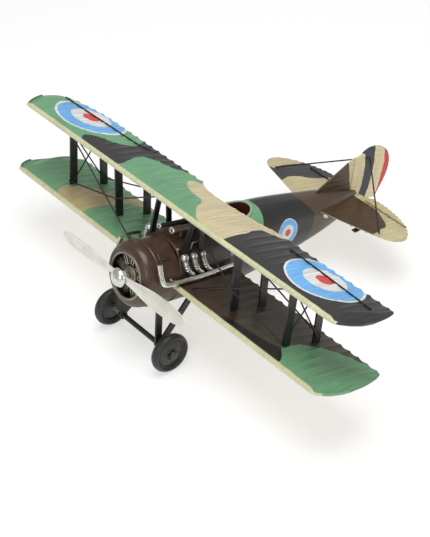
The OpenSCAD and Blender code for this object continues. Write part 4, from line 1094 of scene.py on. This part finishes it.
def add_wheels():
    """Moulded tyres, pressed discs and domed caps."""
    rubber = black_paint("tyre_black", rgb(31, 30, 29), rgb(90, 84, 76), 0.46, streaks=(0.3, 0.3, 0.3))
    disc_black = black_paint("wheel_disc_black", rgb(40, 39, 38), rgb(104, 98, 90), 0.36,
                             streaks=(0.2, 0.2, 0.2))
    for side, name in ((1, "left"), (-1, "right")):
        low, high = level_box("tyre_" + name)
        centre = (low + high) / 2
        half = (high[0] - low[0]) / 2
        disc_low, disc_high = level_box("wheel_disc_" + name)
        seat = (disc_high[1] - disc_low[1]) / 2
        r = WHEEL_RADIUS
        outline = [(seat, -half * 0.62), (r - 4.6, -half * 0.8), (r - 4.2, -half * 0.7),
                   (r - 3.8, -half * 0.86)]
        outline += [(r - 3.6 + 3.6 * math.cos(a),
                     half * math.sin(a)) for a in np.radians(np.linspace(-72, 72, 17))]
        outline += [(r - 3.8, half * 0.86), (r - 4.2, half * 0.7), (r - 4.6, half * 0.8),
                    (seat, half * 0.62)]
        # Two moulded lines round the tread
        outline = [(p[0] - (0.3 if abs(abs(p[1]) - half * 0.4) < half * 0.09 else 0),
                    p[1]) for p in outline]
        make("tyre_%s_moulded" % name, Solid().turned(outline, "X", centre, 112), rubber, "wheel_" + name,
             ["tyre_" + name])
        disc = [(1.56, -3.2), (4, -3.2), (4.6, -2.6), (7, -2.1), (seat - 0.6, -1.3), (seat, -1.3),
                (seat, 2.2), (seat - 0.5, 2.5), (seat - 1.3, 1.9), (seat - 2, 2.1), (8, 2.7), (5.4, 3.0),
                (5.0, 2.5), (4.6, 3.1),
                (4.2, 3.2), (1.56, 3.2)]
        wheel = Solid().turned([(a, b * side) for a, b in disc], "X", centre, 96)
        for a in np.linspace(0, 2 * math.pi, 6, endpoint=False):
            wheel.ball(centre + np.array([2.75 * side, 7.4 * math.cos(a), 7.4 * math.sin(a)]), 0.55, rows=7,
                       columns=9)
        make("wheel_disc_%s_pressed" % name, wheel, disc_black, "wheel_" + name,
             ["wheel_disc_" + name])
        cap_low, cap_high = level_box("hub_cap_" + name)
        base, tip = (cap_low[0], cap_high[0]) if side > 0 else (cap_high[0], cap_low[0])
        depth = tip - base
        cap = [(3, 0), (4, 0), (4.05, 0.3), (4, 0.6), (3.85, 0.7), (3.6, 0.86), (2.6, 0.97), (1.2, 1),
               (0.02, 1),
               (0.02, 0.86), (2.6, 0.8), (3, 0.6)]
        make("hub_cap_%s_domed" % name, Solid().turned([(a, base + b * depth) for a, b in cap], "X",
                                                       (0, centre[1], centre[2]), 64),
             disc_black, "wheel_" + name, ["hub_cap_" + name])


add_wheels()

# ---- struts, wires, rods and fittings -----------------------------------------------------
FLAT_STRIPS = [n for n in frame["nodes"] if n.startswith(("strut_", "cabane_", "gear_leg_"))]
ROUND_BLACK = [n for n in frame["nodes"] if "wire" in n or "aileron_rod" in n] + ["tail_skid",
                                                                                  "spreader_tube"]


def add_elevator_rods():
    """Thin bars laid along the elevators' hinge lines, black to starboard and painted over to port."""
    low, high = level_box("elevator_rods")
    lift = (low[2] + high[2]) / 2
    paint = black_paint("elevator_rod_paint", rgb(150, 136, 96), rgb(60, 50, 38), 0.5)
    for name, reach, start, material in (("port", (16, 71), 231.3, paint),
                                         ("starboard", (-56, -16), 229.4, WIRE_BLACK)):
        xs = np.linspace(reach[0], reach[1], 24)
        lie = 0.3 * np.cos(xs * 0.55)
        path = np.stack([xs, start + (xs - xs[0]) * -0.03 + lie * 0.4, lift + lie * 0.3 - 0.1], 1)
        make("elevator_rod_" + name, Solid().tube(path, ELEVATOR_ROD_RADIUS, 12), material,
             "airframe", ["elevator_rods"] if name == "port" else ())


def finish_cad():
    """Materials for the CAD nodes that are shown as they are, with worn edges on the strips."""
    for nodes, material in ((FLAT_STRIPS, STRUT_BLACK), (ROUND_BLACK + ["engine_backplate"], WIRE_BLACK),
                            (["prop_shaft", "axle", "axle_nuts"], SILVER), (["cowl_ring"], RING_SILVER),
                            (["shaft_bush"], BRASS)):
        for node in nodes:
            data = frame["nodes"][node].data
            data.materials.clear()
            data.materials.append(material)
    for node in FLAT_STRIPS:
        softened = frame["nodes"][node].modifiers.new("worn_edges", "BEVEL")
        softened.width = 0.28 * MM
        softened.segments = 2
        softened.limit_method = "ANGLE"


def add_fittings():
    """Solder at the ends of the struts and wires, and the small knobs on the deck and tail."""
    solder = Solid()
    for node in FLAT_STRIPS:
        for top in (False, True):
            x, y, z = end_of(node, top)
            if node.startswith("gear_leg_") and not top:
                continue
            solder.ball((x, y, z), SOLDER_RADIUS, (0.8, 2.0, 0.36), 9, 18)
    for node in ("bay_wires_left", "bay_wires_right", "cross_wires_left", "cross_wires_right"):
        points = level_points(node)
        for pick in (points[:, 0].argmax(), points[:, 0].argmin(), points[:, 2].argmin(),
                     points[:, 2].argmax()):
            solder.ball(points[pick], 1.15, (0.9, 1.1, 0.8), 8, 12)
    make("solder_feet", solder, STRUT_BLACK, "airframe")
    knobs = Solid()
    knobs.tube([(17, 9.8, float(deck_z(17, 9.8)) - 0.5), (17.2, 9.6, 25.6)], [1.1, 0.8], 12)
    knobs.ball((17.2, 9.6, 26.3), 1.6, rows=12, columns=18)
    lever = [(19.2, 22, float(deck_z(19.2, 22)) - 0.3), (19.4, 23, 31.2), (19.9, 26, 31.8),
             (20.2, 29.6, 32.2)]
    knobs.tube(smooth(lever, 5), 0.75, 12)
    make("deck_knob_and_lever", knobs, DULL_SILVER, "airframe")
    lugs = Solid()
    for x, y, z, r in ((21.4, 176.5, TAIL_Z - 2.4, 2.0), (46, 185, TAIL_Z - 1.3, 1.1),
                       (60, 190.5, TAIL_Z - 1.3, 1.3)):
        lugs.ball((x, y, z), r, (1.3, 1, 0.9), 10, 16)
    make("tail_lugs", lugs, CREAM_PAINT, "airframe")


finish_cad()
add_elevator_rods()
add_fittings()


# ---- camera: the direction it looks from, its roll, its distance and the point it aims at
CAMERA_AZIMUTH = 52.18
CAMERA_ELEVATION = 37.79
CAMERA_ROLL = -1.97
CAMERA_DISTANCE = 1.295
CAMERA_AIM = Vector((0.0009, -0.0519, 0.042))
CAMERA_LENS = 99.63
SENSOR = 36.0


def add_camera():
    """The camera at the model's port bow, seen from above."""
    turn, rise = math.radians(CAMERA_AZIMUTH), math.radians(CAMERA_ELEVATION)
    back = Vector((math.sin(turn) * math.cos(rise), -math.cos(turn) * math.cos(rise), math.sin(rise)))
    data = bpy.data.cameras.new("camera")
    data.lens = CAMERA_LENS
    data.sensor_width = SENSOR
    camera = bpy.data.objects.new("camera", data)
    camera.location = CAMERA_AIM + back * CAMERA_DISTANCE
    look = (-back).to_track_quat("-Z", "Y").to_matrix() @ Matrix.Rotation(math.radians(CAMERA_ROLL), 3, "Z")
    camera.rotation_euler = look.to_euler()
    bpy.context.scene.collection.objects.link(camera)
    bpy.context.scene.camera = camera


def add_light():
    """White surroundings and a large soft lamp overhead."""
    world = bpy.data.worlds.new("studio")
    world.use_nodes = True
    background = world.node_tree.nodes["Background"]
    background.inputs["Color"].default_value = (1.0, 1.0, 1.0, 1)
    background.inputs["Strength"].default_value = 0.42
    bpy.context.scene.world = world
    for name, place, size, power, aim in (("overhead", (0.15, -0.1, 1.3), 1.0, 10.5, (0, 0, 0)),
                                          ("front", (0.9, -1.3, 0.9), 0.8, 6, (0, 0, 0.05))):
        data = bpy.data.lights.new(name, "AREA")
        data.shape = "DISK"
        data.size = size
        data.energy = power
        lamp = bpy.data.objects.new(name, data)
        lamp.location = place
        lamp.rotation_euler = (Vector(aim) - Vector(place)).to_track_quat("-Z", "Y").to_euler()
        bpy.context.scene.collection.objects.link(lamp)


def add_floor():
    """Plain white floor, a little luminous so that it stays pale in the shadow."""
    mesh = bpy.data.meshes.new("floor")
    reach = 6.0
    mesh.from_pydata([(-reach, -reach, 0), (reach, -reach, 0), (reach, reach, 0), (-reach, reach, 0)], [],
                     [(0, 1, 2, 3)])
    material = bpy.data.materials.new("floor_white")
    material.use_nodes = True
    shader = material.node_tree.nodes["Principled BSDF"]
    shader.inputs["Base Color"].default_value = (0.56, 0.56, 0.56, 1)
    shader.inputs["Roughness"].default_value = 0.7
    shader.inputs["Specular IOR Level"].default_value = 0.1
    shader.inputs["Emission Color"].default_value = (1, 1, 1, 1)
    shader.inputs["Emission Strength"].default_value = 0.52
    mesh.materials.append(material)
    floor = bpy.data.objects.new("floor", mesh)
    bpy.context.scene.collection.objects.link(floor)


add_camera()
add_light()
add_floor()
bpy.context.scene.view_settings.view_transform = "Standard"
